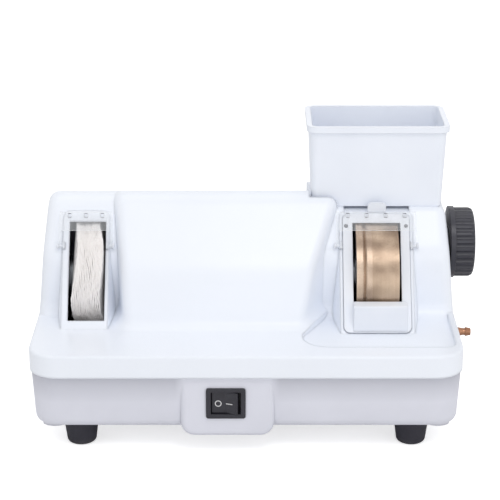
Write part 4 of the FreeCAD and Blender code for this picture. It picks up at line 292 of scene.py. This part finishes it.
def band(shape, first, second):
    """The faces between two rings of corners."""
    pairs = list(zip(first, second))
    for (first_here, second_here), (first_next, second_next) in zip(pairs, pairs[1:] + pairs[:1]):
        shape.faces.new((first_here, second_here, second_next, first_next))


def meshed(name, shape, smooth=False):
    """The mesh of a closed shape, with its faces turned outwards."""
    bmesh.ops.recalc_face_normals(shape, faces=shape.faces)
    for face in shape.faces:
        face.smooth = smooth
    made = bpy.data.meshes.new(name)
    shape.to_mesh(made)
    shape.free()
    return made


# The screw's head, as shares of its radius and its rise, and its cross, as shares of the same
head_profile = ((0.66, 0.0), (0.84, 0.12), (0.95, 0.34), (1.0, 0.62), (1.0, 1.0))
cross_half, cross_reach, cross_depth, cross_taper = 0.14, 0.56, 0.6, 0.72
screw_sides, sharp_angle = 32, math.radians(30)


def cross_screw(name, head, rise, shank, length):
    """A screw along Z with the top of its pan head at zero and a cross recess in it."""
    shape = bmesh.new()
    wide, far, deep = head * cross_half, head * cross_reach, rise * cross_depth
    arms = [(-wide, -far), (wide, -far), (wide, -wide), (far, -wide), (far, wide), (wide, wide),
            (wide, far), (-wide, far), (-wide, wide), (-far, wide), (-far, -wide), (-wide, -wide)]
    mouth = [shape.verts.new((x, y, 0.0)) for x, y in arms]
    bed = [shape.verts.new((x * cross_taper, y * cross_taper, -deep)) for x, y in arms]
    profile = [(head * across, -rise * down) for across, down in head_profile]
    profile += [(shank, -rise), (shank, -length)]
    rings = [[shape.verts.new((x, y, z)) for x, y in circle(radius, screw_sides)] for radius, z in profile]
    for outer, inner in zip([mouth] + rings[1:], [bed] + rings):
        band(shape, outer, inner)
    rims = [shape.edges.get(pair) for loop in (mouth, rings[0]) for pair in zip(loop, loop[1:] + loop[:1])]
    bmesh.ops.triangle_fill(shape, edges=rims, use_beauty=True, normal=(0, 0, 1))
    shape.faces.new(bed)
    shape.faces.new(rings[-1])
    made = meshed(name, shape, smooth=True)
    made.set_sharp_from_angle(angle=sharp_angle)
    return made


def copies_on_points(name):
    """A tree that sets copies of a shape on points, turned by each point's lay, and its inputs."""
    tree = bpy.data.node_groups.new(name, "GeometryNodeTree")
    tree.interface.new_socket("Geometry", in_out="INPUT", socket_type="NodeSocketGeometry")
    tree.interface.new_socket("Geometry", in_out="OUTPUT", socket_type="NodeSocketGeometry")
    kinds = {"Shape": "Object", "Size": "Float", "Vary": "Float", "Finish": "Material", "Seed": "Int"}
    names = {
        title: tree.interface.new_socket(title, in_out="INPUT", socket_type="NodeSocket" + kind).identifier
        for title, kind in kinds.items()
    }
    start = tree.nodes.new("NodeGroupInput").outputs
    shape = put(tree, "GeometryNodeObjectInfo", {"Object": start["Shape"]})
    points = put(tree, "GeometryNodeMeshToPoints", {"Mesh": start["Geometry"]})
    lay = put(tree, "GeometryNodeInputNamedAttribute", {"Name": "lay"}, data_type="FLOAT_VECTOR")
    turn = put(tree, "FunctionNodeEulerToRotation", {"Euler": lay.outputs["Attribute"]})
    least, most = (sums(tree, step, start["Size"], start["Vary"]) for step in ("SUBTRACT", "ADD"))
    size = put(tree, "FunctionNodeRandomValue", {2: least, 3: most, "Seed": start["Seed"]}, data_type="FLOAT")
    set_out = put(tree, "GeometryNodeInstanceOnPoints", {
        "Points": points.outputs[0], "Instance": shape.outputs["Geometry"],
        "Rotation": turn.outputs[0], "Scale": size.outputs[1],
    })
    real = put(tree, "GeometryNodeRealizeInstances", {"Geometry": set_out.outputs[0]})
    finish = put(tree, "GeometryNodeSetMaterial", {"Geometry": real.outputs[0], "Material": start["Finish"]})
    tree.links.new(finish.outputs[0], tree.nodes.new("NodeGroupOutput").inputs[0])
    return tree, names


set_copies, copy_inputs = copies_on_points("copies_on_points")


def copied(name, places, lays, shape, finish, size=1.0, vary=0.0, seed=1):
    """A plain mesh of copies of a shape, each at its place with its lay."""
    points = bpy.data.meshes.new(name + "_points")
    points.from_pydata(places, [], [])
    lay = points.attributes.new("lay", "FLOAT_VECTOR", "POINT")
    lay.data.foreach_set("vector", [value for turns in lays for value in turns])
    carrier = placed(name, points)
    model = placed(name + "_model", shape)
    step = carrier.modifiers.new("copies", "NODES")
    step.node_group = set_copies
    inputs = {"Shape": model, "Size": size, "Vary": vary, "Finish": finish, "Seed": seed}
    for title, value in inputs.items():
        step[copy_inputs[title]] = value
    bpy.context.view_layer.update()
    evaluated = carrier.evaluated_get(bpy.context.evaluated_depsgraph_get())
    made = bpy.data.meshes.new_from_object(evaluated)
    carrier.modifiers.clear()
    carrier.data = made
    bpy.data.objects.remove(model)
    return carrier


def islands(name, weld=0.00001):
    """The corners of each separate solid of a CAD piece."""
    shape = bmesh.new()
    shape.from_mesh(nodes[name].data)
    bmesh.ops.remove_doubles(shape, verts=shape.verts, dist=weld)
    seen = set()
    found = []
    for start in shape.verts:
        if start in seen:
            continue
        seen.add(start)
        heap = [start]
        group = []
        while heap:
            corner = heap.pop()
            group.append(corner.co.copy())
            for edge in corner.link_edges:
                other = edge.other_vert(corner)
                if other not in seen:
                    seen.add(other)
                    heap.append(other)
        found.append(group)
    shape.free()
    return found


# How a plain screw's corners are told apart: those of its head's top, its head's rim and its shank
top_slack, rim_share, under_head = 0.00005, 0.97, 0.0002
plain_shank, widest_shank = 0.5, 0.8


def crossed(name, axis, rides, finish, share=1.0):
    """Screws with cross recesses in place of a CAD piece's plain ones, with the sizes and seats of those."""
    way = Vector(axis).normalized()
    seats = []
    for group in islands(name):
        top = max(corner.dot(way) for corner in group)
        face = [corner for corner in group if top - corner.dot(way) < top_slack]
        centre = sum(face, Vector()) / len(face)
        seats.append(centre)
    off = [((corner - centre).cross(way).length, top - corner.dot(way)) for corner in group]
    head = max(across for across, down in off)
    rise = max(down for across, down in off if across > head * rim_share)
    shank = max([across for across, down in off if down > rise + under_head] or [head * plain_shank])
    length = max(down for across, down in off)
    head *= share
    screw = cross_screw(name + "_model", head, rise, min(shank, head * widest_shank), length)
    lay = way.to_track_quat("Z", "Y").to_euler()
    made = copied(name + "_crossed", seats, [lay] * len(seats), screw, finish)
    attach(made, rides)
    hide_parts(name)


crossed("tray_screws", (0, 0, 1), "housing", zinc)
crossed("cover_screws", (0, 0, -1), "housing", zinc)
crossed("inlet_screws", (0, 1, 0), "housing", zinc)
pod_lean = math.radians(55)
blued_steel = plated("blued_steel", "77797E", "5E6066", 0.4)
crossed("frame_screws", (0, -math.sin(pod_lean), math.cos(pod_lean)), "housing", blued_steel, 0.72)

# Splash trays: dark grey mouldings that catch the water under each wheel and
# screen the motor from it, held on posts of the base.

tray_grey = moulded("tray_grey", "37383D", "303136", 0.55, depth=0.00002)
dress(tray_grey, "left_tray", "right_tray")

# Motor: a small induction motor in a rolled and painted shell, with cast
# aluminium ends, laminated cores and copper windings, strapped to a cradle.

motor_paint = moulded("motor_paint", "4A4F57", "434850", 0.42, grain=1200.0, depth=0.00004)
dress(motor_paint, "motor_shell", "motor_cradle")
cast_aluminium = plated("cast_aluminium", "B4B7BB", "9DA1A6", 0.45, grain=1500.0)
dress(cast_aluminium, "motor_end_left", "motor_end_right")

# The scale of a wave texture whose ribs lie a metre apart, and how deep ribs are for their pitch
metre_waves, rib_depth = 0.31416, 0.2


def layered(name, colour, gap, pitch, rough, metallic):
    """Layers or turns that lie side by side along the spindle."""
    made, tree, shader = blank(name)
    place = object_place(tree)
    waves = {"Vector": place, "Scale": metre_waves / pitch, "Distortion": 0.4}
    ribs = put(tree, "ShaderNodeTexWave", waves, bands_direction="X").outputs["Fac"]
    feed(tree, shader, {
        "Base Color": mixed(tree, ribs, chip(gap), chip(colour)),
        "Roughness": uneven(tree, noisy(tree, place, 90.0), rough - 0.06, rough + 0.06),
        "Normal": raised(tree, pitch * rib_depth, ribs),
        "Metallic": metallic,
    })
    return made


dress(layered("laminated_steel", "7D8086", "4C4E52", 0.0006, 0.4, 1.0), "stator_core", "rotor_core")
dress(layered("copper_turns", "B4623A", "5E2E18", 0.0009, 0.35, 0.8), "stator_windings")
dress(moulded("fan_black", "2C2C31", "26262B", 0.5), "cooling_fan")

# Spindle: one ground steel shaft on two sealed ball bearings, with turned
# flanges and nuts that clamp the wheels. Fine rings show where it was turned.

# Rings that a turning tool leaves round an axis along X, through the Y and Z given
turned_rings, wanted, given = new_effect(
    "turned_rings", {"Axis Y": 0.0, "Axis Z": 0.0, "Rings": 2500.0, "Depth": 0.000006},
    {"Ring": "NodeSocketFloat", "Cloud": "NodeSocketFloat", "Normal": "NodeSocketVector"},
)
place = object_place(turned_rings)
spot = axes_of(turned_rings, place)
offs = [sums(turned_rings, "SUBTRACT", spot[axis], wanted["Axis " + axis]) for axis in "YZ"]
squares = [sums(turned_rings, "MULTIPLY", off, off) for off in offs]
radius = sums(turned_rings, "SQRT", sums(turned_rings, "ADD", *squares))
along = put(turned_rings, "ShaderNodeCombineXYZ", {0: spot["X"], 1: radius}).outputs[0]
ring = noisy(turned_rings, along, wanted["Rings"], 2.0)
feed(turned_rings, given, {
    "Ring": ring,
    "Cloud": noisy(turned_rings, place, 70.0),
    "Normal": raised(turned_rings, wanted["Depth"], ring),
})

spindle_y, spindle_z = 0.0095, 0.1085


def turned(name, colour, patch, rough, centre_y=spindle_y, centre_z=spindle_z):
    """A metal turned about an axis along X."""
    made, tree, shader = blank(name)
    axis = {"Axis Y": centre_y, "Axis Z": centre_z}
    tool = put(tree, "ShaderNodeGroup", axis, node_tree=turned_rings).outputs
    feed(tree, shader, {
        "Base Color": mixed(tree, patches(tree, tool["Cloud"], 0.35, 0.65), chip(colour), chip(patch)),
        "Roughness": uneven(tree, tool["Ring"], rough - 0.08, rough + 0.08),
        "Normal": tool["Normal"],
        "Metallic": 1.0,
    })
    return made


ground_steel = turned("ground_steel", "A8ABB0", "94979D", 0.28)
dress(ground_steel, "spindle_shaft", "wheel_flanges", "buff_flanges", "motor_bearings")
dress(turned("turned_aluminium", "B4B7BB", "A6A9AE", 0.34), "wheel_core")
soft_rubber = moulded("soft_rubber", "4A4A4E", "3F3F43", 0.6, grain=1500.0, depth=0.00002)
dress(soft_rubber, "shaft_slingers", "drain_hose")

# Grinding wheel: two bronze bands full of diamond grit on an aluminium core,
# the narrow one with a V groove for bevels. Water and glass have worn fine
# streaks round the bands and left a paler sheen on them.

streak_rings, stain_scale, wear_depth = 420.0, 38.0, 0.000014


def grit(name, colour, streak, dark, rough, coarse):
    """Diamond grit held in bronze, with the streaks that lenses wear round it."""
    made, tree, shader = blank(name)
    place = object_place(tree)
    axis = {"Axis Y": spindle_y, "Axis Z": spindle_z, "Rings": streak_rings}
    worn = put(tree, "ShaderNodeGroup", axis, node_tree=turned_rings).outputs["Ring"]
    speck = put(tree, "ShaderNodeTexVoronoi", {"Vector": place, "Scale": coarse}).outputs["Distance"]
    shown = mixed(tree, spread(tree, worn, 0.35, 0.65, 0.2, 0.7), chip(colour), chip(streak))
    patch = patches(tree, noisy(tree, place, stain_scale, 2.0), 0.42, 0.66, 0.75)
    height = sums(tree, "ADD", speck, sums(tree, "MULTIPLY", worn, 0.4))
    feed(tree, shader, {
        "Base Color": mixed(tree, patch, shown, chip(dark)),
        "Roughness": spread(tree, speck, 0.0, 0.6, rough - 0.08, rough + 0.1),
        "Normal": raised(tree, wear_depth, height),
        "Metallic": 0.85,
    })
    return made


dress(grit("fine_diamond", "C2AA95", "D4C2B0", "8C7767", 0.25, 2200.0), "finish_rim")
dress(grit("coarse_diamond", "B8A08A", "CBB7A2", "7E6A5A", 0.28, 1300.0), "rough_rim")

# Cotton buff: eighteen loose plies of white cotton, stitched together near the
# flanges and open at the rim, where use has ruffled and frayed them. Grey
# polishing dust sits in the folds, and the sides of the plies are painted
# darker as the shade between them.

buff_low, buff_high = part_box("buffing_wheel")
buff_radius = (buff_high.z - buff_low.z) / 2
ply_count, ply_turns = 18, 200
ply_rings = (0.0062, 0.016, 0.024, 0.033, 0.041, 0.046, 0.0482, 0.0494)
ply_pitch = (buff_high.x - buff_low.x) / ply_count
ply_half, rim_half = ply_pitch * 0.47, ply_pitch * 0.36
side_room, thread_room = 0.0012, 0.0008

# The rim's middle and width against the flanges, more of it towards the bottom, and its sway and folds
buff_middle, rim_middle = (buff_low.x + buff_high.x) / 2, -0.1372
rim_width, rim_flare = 0.86, 0.13
clamped_radius, loose_depth, loosening = 0.019, 0.031, 1.4
sway_reach, sway_waves, sway_start = 0.0021, 3.6, -1.15
fold_reach, ruffle_reach = 0.0010, 0.0005

# How deep the cut edge is frayed: at the least, then by broad, worn and single-thread hollows
fray_least, fray_broad, fray_worn, fray_thread = 0.0010, 0.0016, 0.0007, 0.0003
cut_radius, fray_bite = 0.05, 6


def round_noise(turn, coarse, layer):
    """Noise that closes on itself round the wheel."""
    return noise.noise(Vector((math.cos(turn) * coarse, math.sin(turn) * coarse, layer)))


def ply_place(turn, radius, number):
    """Where a ply stands along the spindle: flat at the flanges, swaying with its neighbours at the rim."""
    loose = min(1.0, max(0.0, (radius - clamped_radius) / loose_depth)) ** loosening
    clamped = buff_low.x + ply_pitch * (number + 0.5)
    sway = sway_reach * math.sin(sway_waves * (math.pi - turn) + sway_start)
    fold = round_noise(turn, 2.1, number * 0.12) * fold_reach
    ruffle = round_noise(turn, 11.0, number * 0.45 + 20) * ruffle_reach
    share = rim_width - rim_flare * math.sin(turn)
    free = rim_middle + (clamped - buff_middle) * share + sway + fold + ruffle
    return clamped + (free - clamped) * loose


def frayed(turn, number):
    """How far the cut edge of a ply stands short of the full radius."""
    broad = round_noise(turn, 2.6, number * 0.22 + 50)
    worn = round_noise(turn, 9.0, number * 2.7 + 70)
    thread = round_noise(turn, 40.0, number * 4.1 + 90)
    return max(0.0, fray_least + fray_broad * broad + fray_worn * worn + fray_thread * thread)


def round_spindle(x, reach, turn):
    """A place round the spindle."""
    return x, spindle_y + reach * math.cos(turn), spindle_z + reach * math.sin(turn)


def ply_ring(shape, number, side, radius):
    """One ring of corners on one side of a ply, drawn in where its edge is frayed."""
    half = rim_half if radius == ply_rings[-1] else ply_half
    ring = []
    for step in range(ply_turns):
        turn = math.tau * step / ply_turns
        bite = frayed(turn, number) / cut_radius * (radius / buff_radius) ** fray_bite
        x = ply_place(turn, radius, number) + side * half
        x = min(max(x, buff_low.x - side_room), buff_high.x + side_room)
        ring.append(shape.verts.new(round_spindle(x, min(radius, buff_radius) * (1 - bite), turn)))
    return ring


cotton = bmesh.new()
for number in range(ply_count):
    left, right = ([ply_ring(cotton, number, side, radius) for radius in ply_rings] for side in (-1, 1))
    loop = left + right[::-1]
    for first, second in zip(loop, loop[1:] + loop[:1]):
        band(cotton, first, second)
buff = placed("cotton_buff", meshed("cotton_plies", cotton, smooth=True))

weave_lean, weave_scale, weave_depth = 0.6, 480.0, 0.00012
lint_scale, soil_scale = 900.0, 70.0
buff_cotton, tree, shader = blank("buff_cotton")
place = object_place(tree)
weave_turn = {"Vector": place, "Axis": (1.0, 0.0, 0.0), "Angle": weave_lean}
weave_place = put(tree, "ShaderNodeVectorRotate", weave_turn, rotation_type="AXIS_ANGLE").outputs[0]
waves = {"Vector": weave_place, "Scale": weave_scale, "Distortion": 1.5, "Detail Scale": 2.0}
warp, weft = (put(tree, "ShaderNodeTexWave", waves, bands_direction=way).outputs["Fac"] for way in "YZ")
weave = sums(tree, "MULTIPLY", warp, weft)
lint = noisy(tree, place, lint_scale)
soil = noisy(tree, place, soil_scale, 5.0)
shown = mixed(tree, patches(tree, lint, 0.35, 0.65), chip("FFFCFB"), chip("FBF6F4"))
shown = mixed(tree, patches(tree, soil, 0.55, 0.8, 0.35), shown, chip("D3CBC6"))
shown = mixed(tree, spread(tree, weave, 0.0, 0.4, 0.1, 0.0), shown, chip("E2DAD4"))
# Painted shade: faces that turn along the spindle, the sides of the plies, are darkened towards grey
facing = axes_of(tree, put(tree, "ShaderNodeNewGeometry").outputs["Normal"])
painted_side_shade = patches(tree, sums(tree, "ABSOLUTE", facing["X"]), 0.75, 1.0, 0.55)
feed(tree, shader, {
    "Base Color": mixed(tree, painted_side_shade, shown, chip("8A8581")),
    "Normal": raised(tree, weave_depth, sums(tree, "ADD", weave, lint)),
    "Roughness": 0.95, "Sheen Weight": 0.6, "Sheen Roughness": 0.5,
})
buff.data.materials.append(buff_cotton)

# The loose threads at the rim: one short bent thread of three sides, given by how far along it is,
# how far it lifts and its half thickness, set on places scattered round the rim
thread_bends = (
    (0.0, 0.0, 0.00008), (0.0009, 0.0004, 0.00007), (0.0019, 0.0006, 0.00006), (0.0028, 0.0003, 0.00002),
)
thread_sides, thread_count = 3, 4200
thread_top, thread_depth, thread_vary = 0.0484, 0.0016, 0.45
least_lean, most_lean, most_twist = 20, 88, 28

thread = bmesh.new()
thread_rings = [
    [thread.verts.new((x, along, lift + z)) for x, z in circle(half, thread_sides)]
    for along, lift, half in thread_bends
]
for first, second in zip(thread_rings, thread_rings[1:]):
    band(thread, first, second)
thread.faces.new(thread_rings[0])
thread.faces.new(thread_rings[-1][::-1])

random.seed(11)
root_places = []
root_lays = []
for k in range(thread_count):
    turn = random.random() * math.tau
    number = random.randrange(ply_count)
    reach = thread_top - frayed(turn, number) - random.random() * thread_depth
    x = ply_place(turn, reach, number) + random.uniform(-0.5, 0.5) * ply_pitch
    x = min(max(x, buff_low.x - thread_room), buff_high.x + thread_room)
    root_places.append(round_spindle(x, reach, turn))
    lean = math.radians(random.uniform(least_lean, most_lean) * random.choice((-1, 1)))
    twist = math.radians(random.uniform(-most_twist, most_twist))
    lay = Matrix.Rotation(turn, 3, "X") @ Matrix.Rotation(lean, 3, "X") @ Matrix.Rotation(twist, 3, "Z")
    root_lays.append(lay.to_euler())
thread_shape = meshed("loose_thread", thread)
loose_threads = copied(
    "buff_threads", root_places, root_lays, thread_shape, buff_cotton, vary=thread_vary, seed=7,
)
for piece in (buff, loose_threads):
    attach(piece, "spindle")
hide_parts("buffing_wheel")

# Top cover: one cool white moulding with a bulge over the motor and two bays
# for the wheels. A fine satin skin that takes soft broad highlights.

cover_white = moulded(
    "cover_white", "F1F5FD", "EFF3FB", 0.3, grain=3000.0, depth=0.000004, clouds=12.0, corner=0.003,
)
dress(cover_white, "top_cover")

# Wheel frame, lens rest and tap: white inserts, the frame dropped in round the
# grinding wheel's window and held by two screws, with a narrow dark joint.

insert_white = moulded("insert_white", "EEF1F8", "E9EDF5", 0.42, grain=2600.0, depth=0.00001, corner=0.001)
dress(insert_white, "wheel_frame", "lens_rest", "tap_body")
grip_middle, grip_depth, grip_widening = 0.09675, 0.0028, 1.43
grip_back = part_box("tap_lever")[0].y + grip_depth


def wider_grip(corner):
    """The thumb grip of the tap's lever at its photographed width."""
    wide = grip_widening if corner.y < grip_back else 1.0
    return Vector((grip_middle + (corner.x - grip_middle) * wide, corner.y, corner.z))


reshaped("tap_lever", wider_grip, "lever", "insert_white", insert_white)

# Guards: clear sheet bent over each wheel, on two pivot screws at its arms.
# Thin enough to show what is behind, its sheared edges painted whiter and
# more opaque as a highlight, and with short slots near its top whose cut
# sides are painted grey as their shade.

# Where a sheet turns a corner: the mask of its painted edge highlight
painted_edge_highlight, wanted, given = new_effect("painted_edge_highlight", {"Width": 0.0009}, {"Edge": "NodeSocketFloat"})
turned_in = put(painted_edge_highlight, "ShaderNodeBevel", {"Radius": wanted["Width"]}, samples=6).outputs[0]
facing = put(painted_edge_highlight, "ShaderNodeNewGeometry").outputs["Normal"]
same = put(painted_edge_highlight, "ShaderNodeVectorMath", {0: turned_in, 1: facing}, operation="DOT_PRODUCT")
feed(painted_edge_highlight, given, {"Edge": spread(painted_edge_highlight, same.outputs["Value"], 0.8, 0.995, 1.0, 0.0)})

haze_scale, slot_haze_scale = 160.0, 400.0
least_film, most_film, edge_highlight_film, sheet_index = 0.09, 0.15, 0.75, 1.49
clear_sheet, tree, shader = blank("clear_sheet")
haze = noisy(tree, object_place(tree), haze_scale, 4.0)
# Painted highlight: near its edges the sheet is made more opaque and white
edge = put(tree, "ShaderNodeGroup", node_tree=painted_edge_highlight).outputs["Edge"]
film = spread(tree, haze, 0.3, 0.7, least_film, most_film)
feed(tree, shader, {
    "Base Color": mixed(tree, haze, chip("FAFCFF"), chip("F2F6FA")),
    "Roughness": spread(tree, haze, 0.35, 0.7, 0.04, 0.12),
    "Alpha": sums(tree, "MAXIMUM", film, sums(tree, "MULTIPLY", edge, edge_highlight_film)),
    "IOR": sheet_index,
})
slot_shade, tree, shader = blank("slot_shade")
haze = noisy(tree, object_place(tree), slot_haze_scale)
feed(tree, shader, {
    "Base Color": mixed(tree, haze, chip("A4A6AC"), chip("7E8086")),
    "Roughness": uneven(tree, haze, 0.3, 0.5),
})

# The foot of the pods' slope, and what lies where up the slope and out from it
pod_y, pod_z = -0.0545, 0.0825
front_edge_up, front_edge_out, sheet_rise = 0.088, 0.004, 0.0028
slots_low, slots_high, slot_rise = 0.0925, 0.0972, 0.0024
slot_faces_low, slot_faces_high, sheet_border = 0.094, 0.0995, 0.004
steepest = 0.5


def up_pod(y, z):
    """The part of a place or a direction that runs up the pod's slope."""
    return y * math.cos(pod_lean) + z * math.sin(pod_lean)


def out_of_pod(y, z):
    """The part of a place or a direction that stands out from the pod's slope."""
    return z * math.cos(pod_lean) - y * math.sin(pod_lean)


def shorter_sheet(corner):
    """The sheet's front edge and slots set a little higher up the slope, as in the photograph."""
    y, z = corner.y - pod_y, corner.z - pod_z
    if up_pod(y, z) < front_edge_up and out_of_pod(y, z) > front_edge_out:
        rise = sheet_rise
    else:
        rise = slot_rise if slots_low < up_pod(y, z) < slots_high else 0.0
    return corner + Vector((0, rise * math.cos(pod_lean), rise * math.sin(pod_lean)))


for side in ("left", "right"):
    sheet = reshaped(side + "_guard", shorter_sheet, "guard_" + side, "clear_sheet", clear_sheet, slot_shade)
    low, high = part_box(side + "_guard")
    for face in sheet.data.polygons:
        up = up_pod(face.center.y - pod_y, face.center.z - pod_z)
        inner = low.x + sheet_border < face.center.x < high.x - sheet_border
        cut_side = abs(out_of_pod(face.normal.y, face.normal.z)) < steepest
        face.material_index = int(inner and cut_side and slot_faces_low < up < slot_faces_high)
dress(insert_white, "guard_screws")

# Water tank: an open box with drafted walls and a rolled rim, moulded in the
# cover's white; its spout drops into the tap under it.

tank_white = moulded(
    "tank_white", "F1F5FD", "EDF1FA", 0.34, grain=3000.0, depth=0.000006, clouds=18.0, corner=0.001,
)
dress(tank_white, "water_tank")

# Side knob: a black moulded hand knob with a notched grip and a smooth skirt,
# on a steel stud with a brass bush, locked by a nut inside the cover.

knob_black = moulded("knob_black", "30303A", "2A2A34", 0.34, grain=1600.0, depth=0.00002)
knob_low, knob_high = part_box("side_knob")
knob_y, knob_z = 0.0295, 0.131
knob_length = knob_high.x - knob_low.x
skirt_end, skirt_width = 0.0085, 0.0042


def longer_grip(corner):
    """The knob's notched grip brought nearer to the cover, over a narrower skirt."""
    out = corner.x - knob_low.x
    if out < skirt_end:
        out = out * skirt_width / skirt_end
    else:
        out = knob_length - (knob_length - out) * (knob_length - skirt_width) / (knob_length - skirt_end)
    return Vector((knob_low.x + out, corner.y, corner.z))


reshaped("side_knob", longer_grip, "knob", "black_plastic", knob_black)
dress(turned("stud_steel", "A8ABB0", "94979D", 0.3, knob_y, knob_z), "knob_stud")
dress(turned("bush_brass", "C9A25A", "B58D48", 0.3, knob_y, knob_z), "knob_bush")

# Switch: a black rocker in a black bezel, snapped into the boss in front. The
# ring for off and the bar for on are printed white on the rocker's face.

switch_black = moulded("switch_black", "2B2A33", "27262E", 0.34, grain=2600.0, depth=0.000012)
dress(switch_black, "switch_body", "switch_rocker")
mark_white, tree, shader = blank("mark_white")
ink = noisy(tree, object_place(tree), 3000.0, 2.0)
feed(tree, shader, {
    "Base Color": mixed(tree, ink, chip("F2F2F2"), chip("DADADC")),
    "Roughness": uneven(tree, ink, 0.45, 0.6),
})
rocker_shape = bmesh.new()
rocker_shape.from_mesh(nodes["switch_rocker"].data)
rocker_face = BVHTree.FromBMesh(rocker_shape)
rocker_shape.free()
in_front, backwards = -0.2, Vector((0, 1, 0))
mark_lift, mark_thickness = 0.00006, 0.00005


def printed(name, outlines):
    """A thin mark between two outlines, given across and up, laid on the face of the rocker."""
    shape = bmesh.new()
    rings = []
    for outline in outlines:
        ring = []
        for across, up in outline:
            spot = rocker_face.ray_cast(Vector((across, in_front, up)), backwards)[0]
            ring.append(shape.verts.new((across, spot.y - mark_lift, up)))
        rings.append(ring)
    outer, inner = rings
    band(shape, inner, outer)
    bmesh.ops.recalc_face_normals(shape, faces=shape.faces)
    bmesh.ops.solidify(shape, geom=list(shape.faces), thickness=mark_thickness)
    piece = placed(name, meshed(name, shape))
    piece.data.materials.append(mark_white)
    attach(piece, "rocker")


mark_level, off_x, on_x = 0.0442, -0.0316, -0.02305
ring_outside, ring_inside, ring_sides = 0.0026, 0.0020, 48
printed("mark_off", [
    [(off_x + x, mark_level + z) for x, z in circle(radius, ring_sides)]
    for radius in (ring_outside, ring_inside)
])
bar_reach, bar_step, bar_half, bar_slit = 0.00245, 0.0008, 0.0003, 0.1
bar_stops = [-bar_reach, -bar_step, bar_step, bar_reach]
bar = [(x, -bar_half) for x in bar_stops] + [(x, bar_half) for x in bar_stops[::-1]]
printed("mark_on", [[(on_x + x, mark_level + z * share) for x, z in bar] for share in (1.0, bar_slit)])
brass_sheet = plated("brass_sheet", "C9A25A", "B08B4A", 0.34)
dress(brass_sheet, "switch_tabs", "inlet_pins", "terminal_screws")

# Mains inlet and small electrical parts: black and off-white mouldings, the
# inlet screwed to the back of the base, the others fixed to its floor.

dress(moulded("inlet_black", "2A2A30", "25252A", 0.45), "power_inlet")
off_white = moulded("off_white", "E4E4E0", "DADAD4", 0.45)
dress(off_white, "motor_capacitor", "terminal_block")

# Drain nipple: turned brass with two barbs for a hose, pushed through the
# side of the base and held by a nut inside.

nipple_y, nipple_z = 0.0235, 0.052
dress(turned("nipple_brass", "A87C62", "8A6350", 0.3, nipple_y, nipple_z), "drain_nipple", "drain_nut")

# Floor, light and camera: a plain white table, soft studio light from above
# and the right, and the photograph's view from 20 degrees above.

floor_mesh = bpy.data.meshes.new("floor")
floor_mesh.from_pydata([(-6, -4, 0), (6, -4, 0), (6, 8, 0), (-6, 8, 0)], [], [(0, 1, 2, 3)])
floor = placed("floor", floor_mesh)
table_glow, world_light, world_seen = 0.6, 0.76, 1.0
white = (1, 1, 1, 1)
table_white, tree, shader = blank("table_white")
mist = noisy(tree, object_place(tree), 2.0, 2.0)
feed(tree, shader, {
    "Base Color": mixed(tree, mist, chip("F4F4F4"), chip("F0F0F0")),
    "Roughness": 1.0, "Specular IOR Level": 0.0,
})
rays = put(tree, "ShaderNodeLightPath").outputs
shown = sums(tree, "MAXIMUM", rays["Is Camera Ray"], rays["Is Transmission Ray"])
strength = sums(tree, "MULTIPLY", shown, table_glow)
glow = put(tree, "ShaderNodeEmission", {"Color": white, "Strength": strength})
both = put(tree, "ShaderNodeAddShader", {0: shader.outputs[0], 1: glow.outputs[0]})
tree.links.new(both.outputs[0], tree.nodes["Material Output"].inputs["Surface"])
floor_mesh.materials.append(table_white)

world = bpy.data.worlds.new("studio")
bpy.context.scene.world = world
world.use_nodes = True
tree = world.node_tree
rays = put(tree, "ShaderNodeLightPath").outputs
mirrored = sums(tree, "MAXIMUM", rays["Is Glossy Ray"], rays["Is Transmission Ray"])
shown = sums(tree, "MAXIMUM", rays["Is Camera Ray"], mirrored)
strength = spread(tree, shown, 0.0, 1.0, world_light, world_seen)
feed(tree, tree.nodes["Background"], {"Strength": strength, "Color": white})


def softbox(name, place, aim_height, width, height, power):
    """A soft lamp that looks at the middle of the machine, at some height."""
    lamp = bpy.data.lights.new(name, "AREA")
    lamp.shape = "RECTANGLE"
    lamp.size = width
    lamp.size_y = height
    lamp.energy = power
    made = placed(name, lamp)
    made.location = place
    made.rotation_euler = (Vector((0, 0, aim_height)) - Vector(place)).to_track_quat("-Z", "Y").to_euler()


softbox("key", (0.4, -1.1, 1.8), 0.1, 0.9, 0.7, 6.8)
softbox("fill", (0.8, -2.4, 0.7), 0.12, 1.6, 1.2, 5.2)
softbox("top", (-0.2, 0.5, 2.2), 0.1, 1.8, 1.2, 4.5)

lens = bpy.data.cameras.new("camera")
lens.sensor_width = 36.0
lens.lens = 124.92
camera = placed("camera", lens)
camera.location = (-0.00675, -1.3372, 0.6209)
camera.rotation_euler = (math.radians(70), 0, 0)
bpy.context.scene.camera = camera
bpy.context.scene.view_settings.view_transform = "Standard"
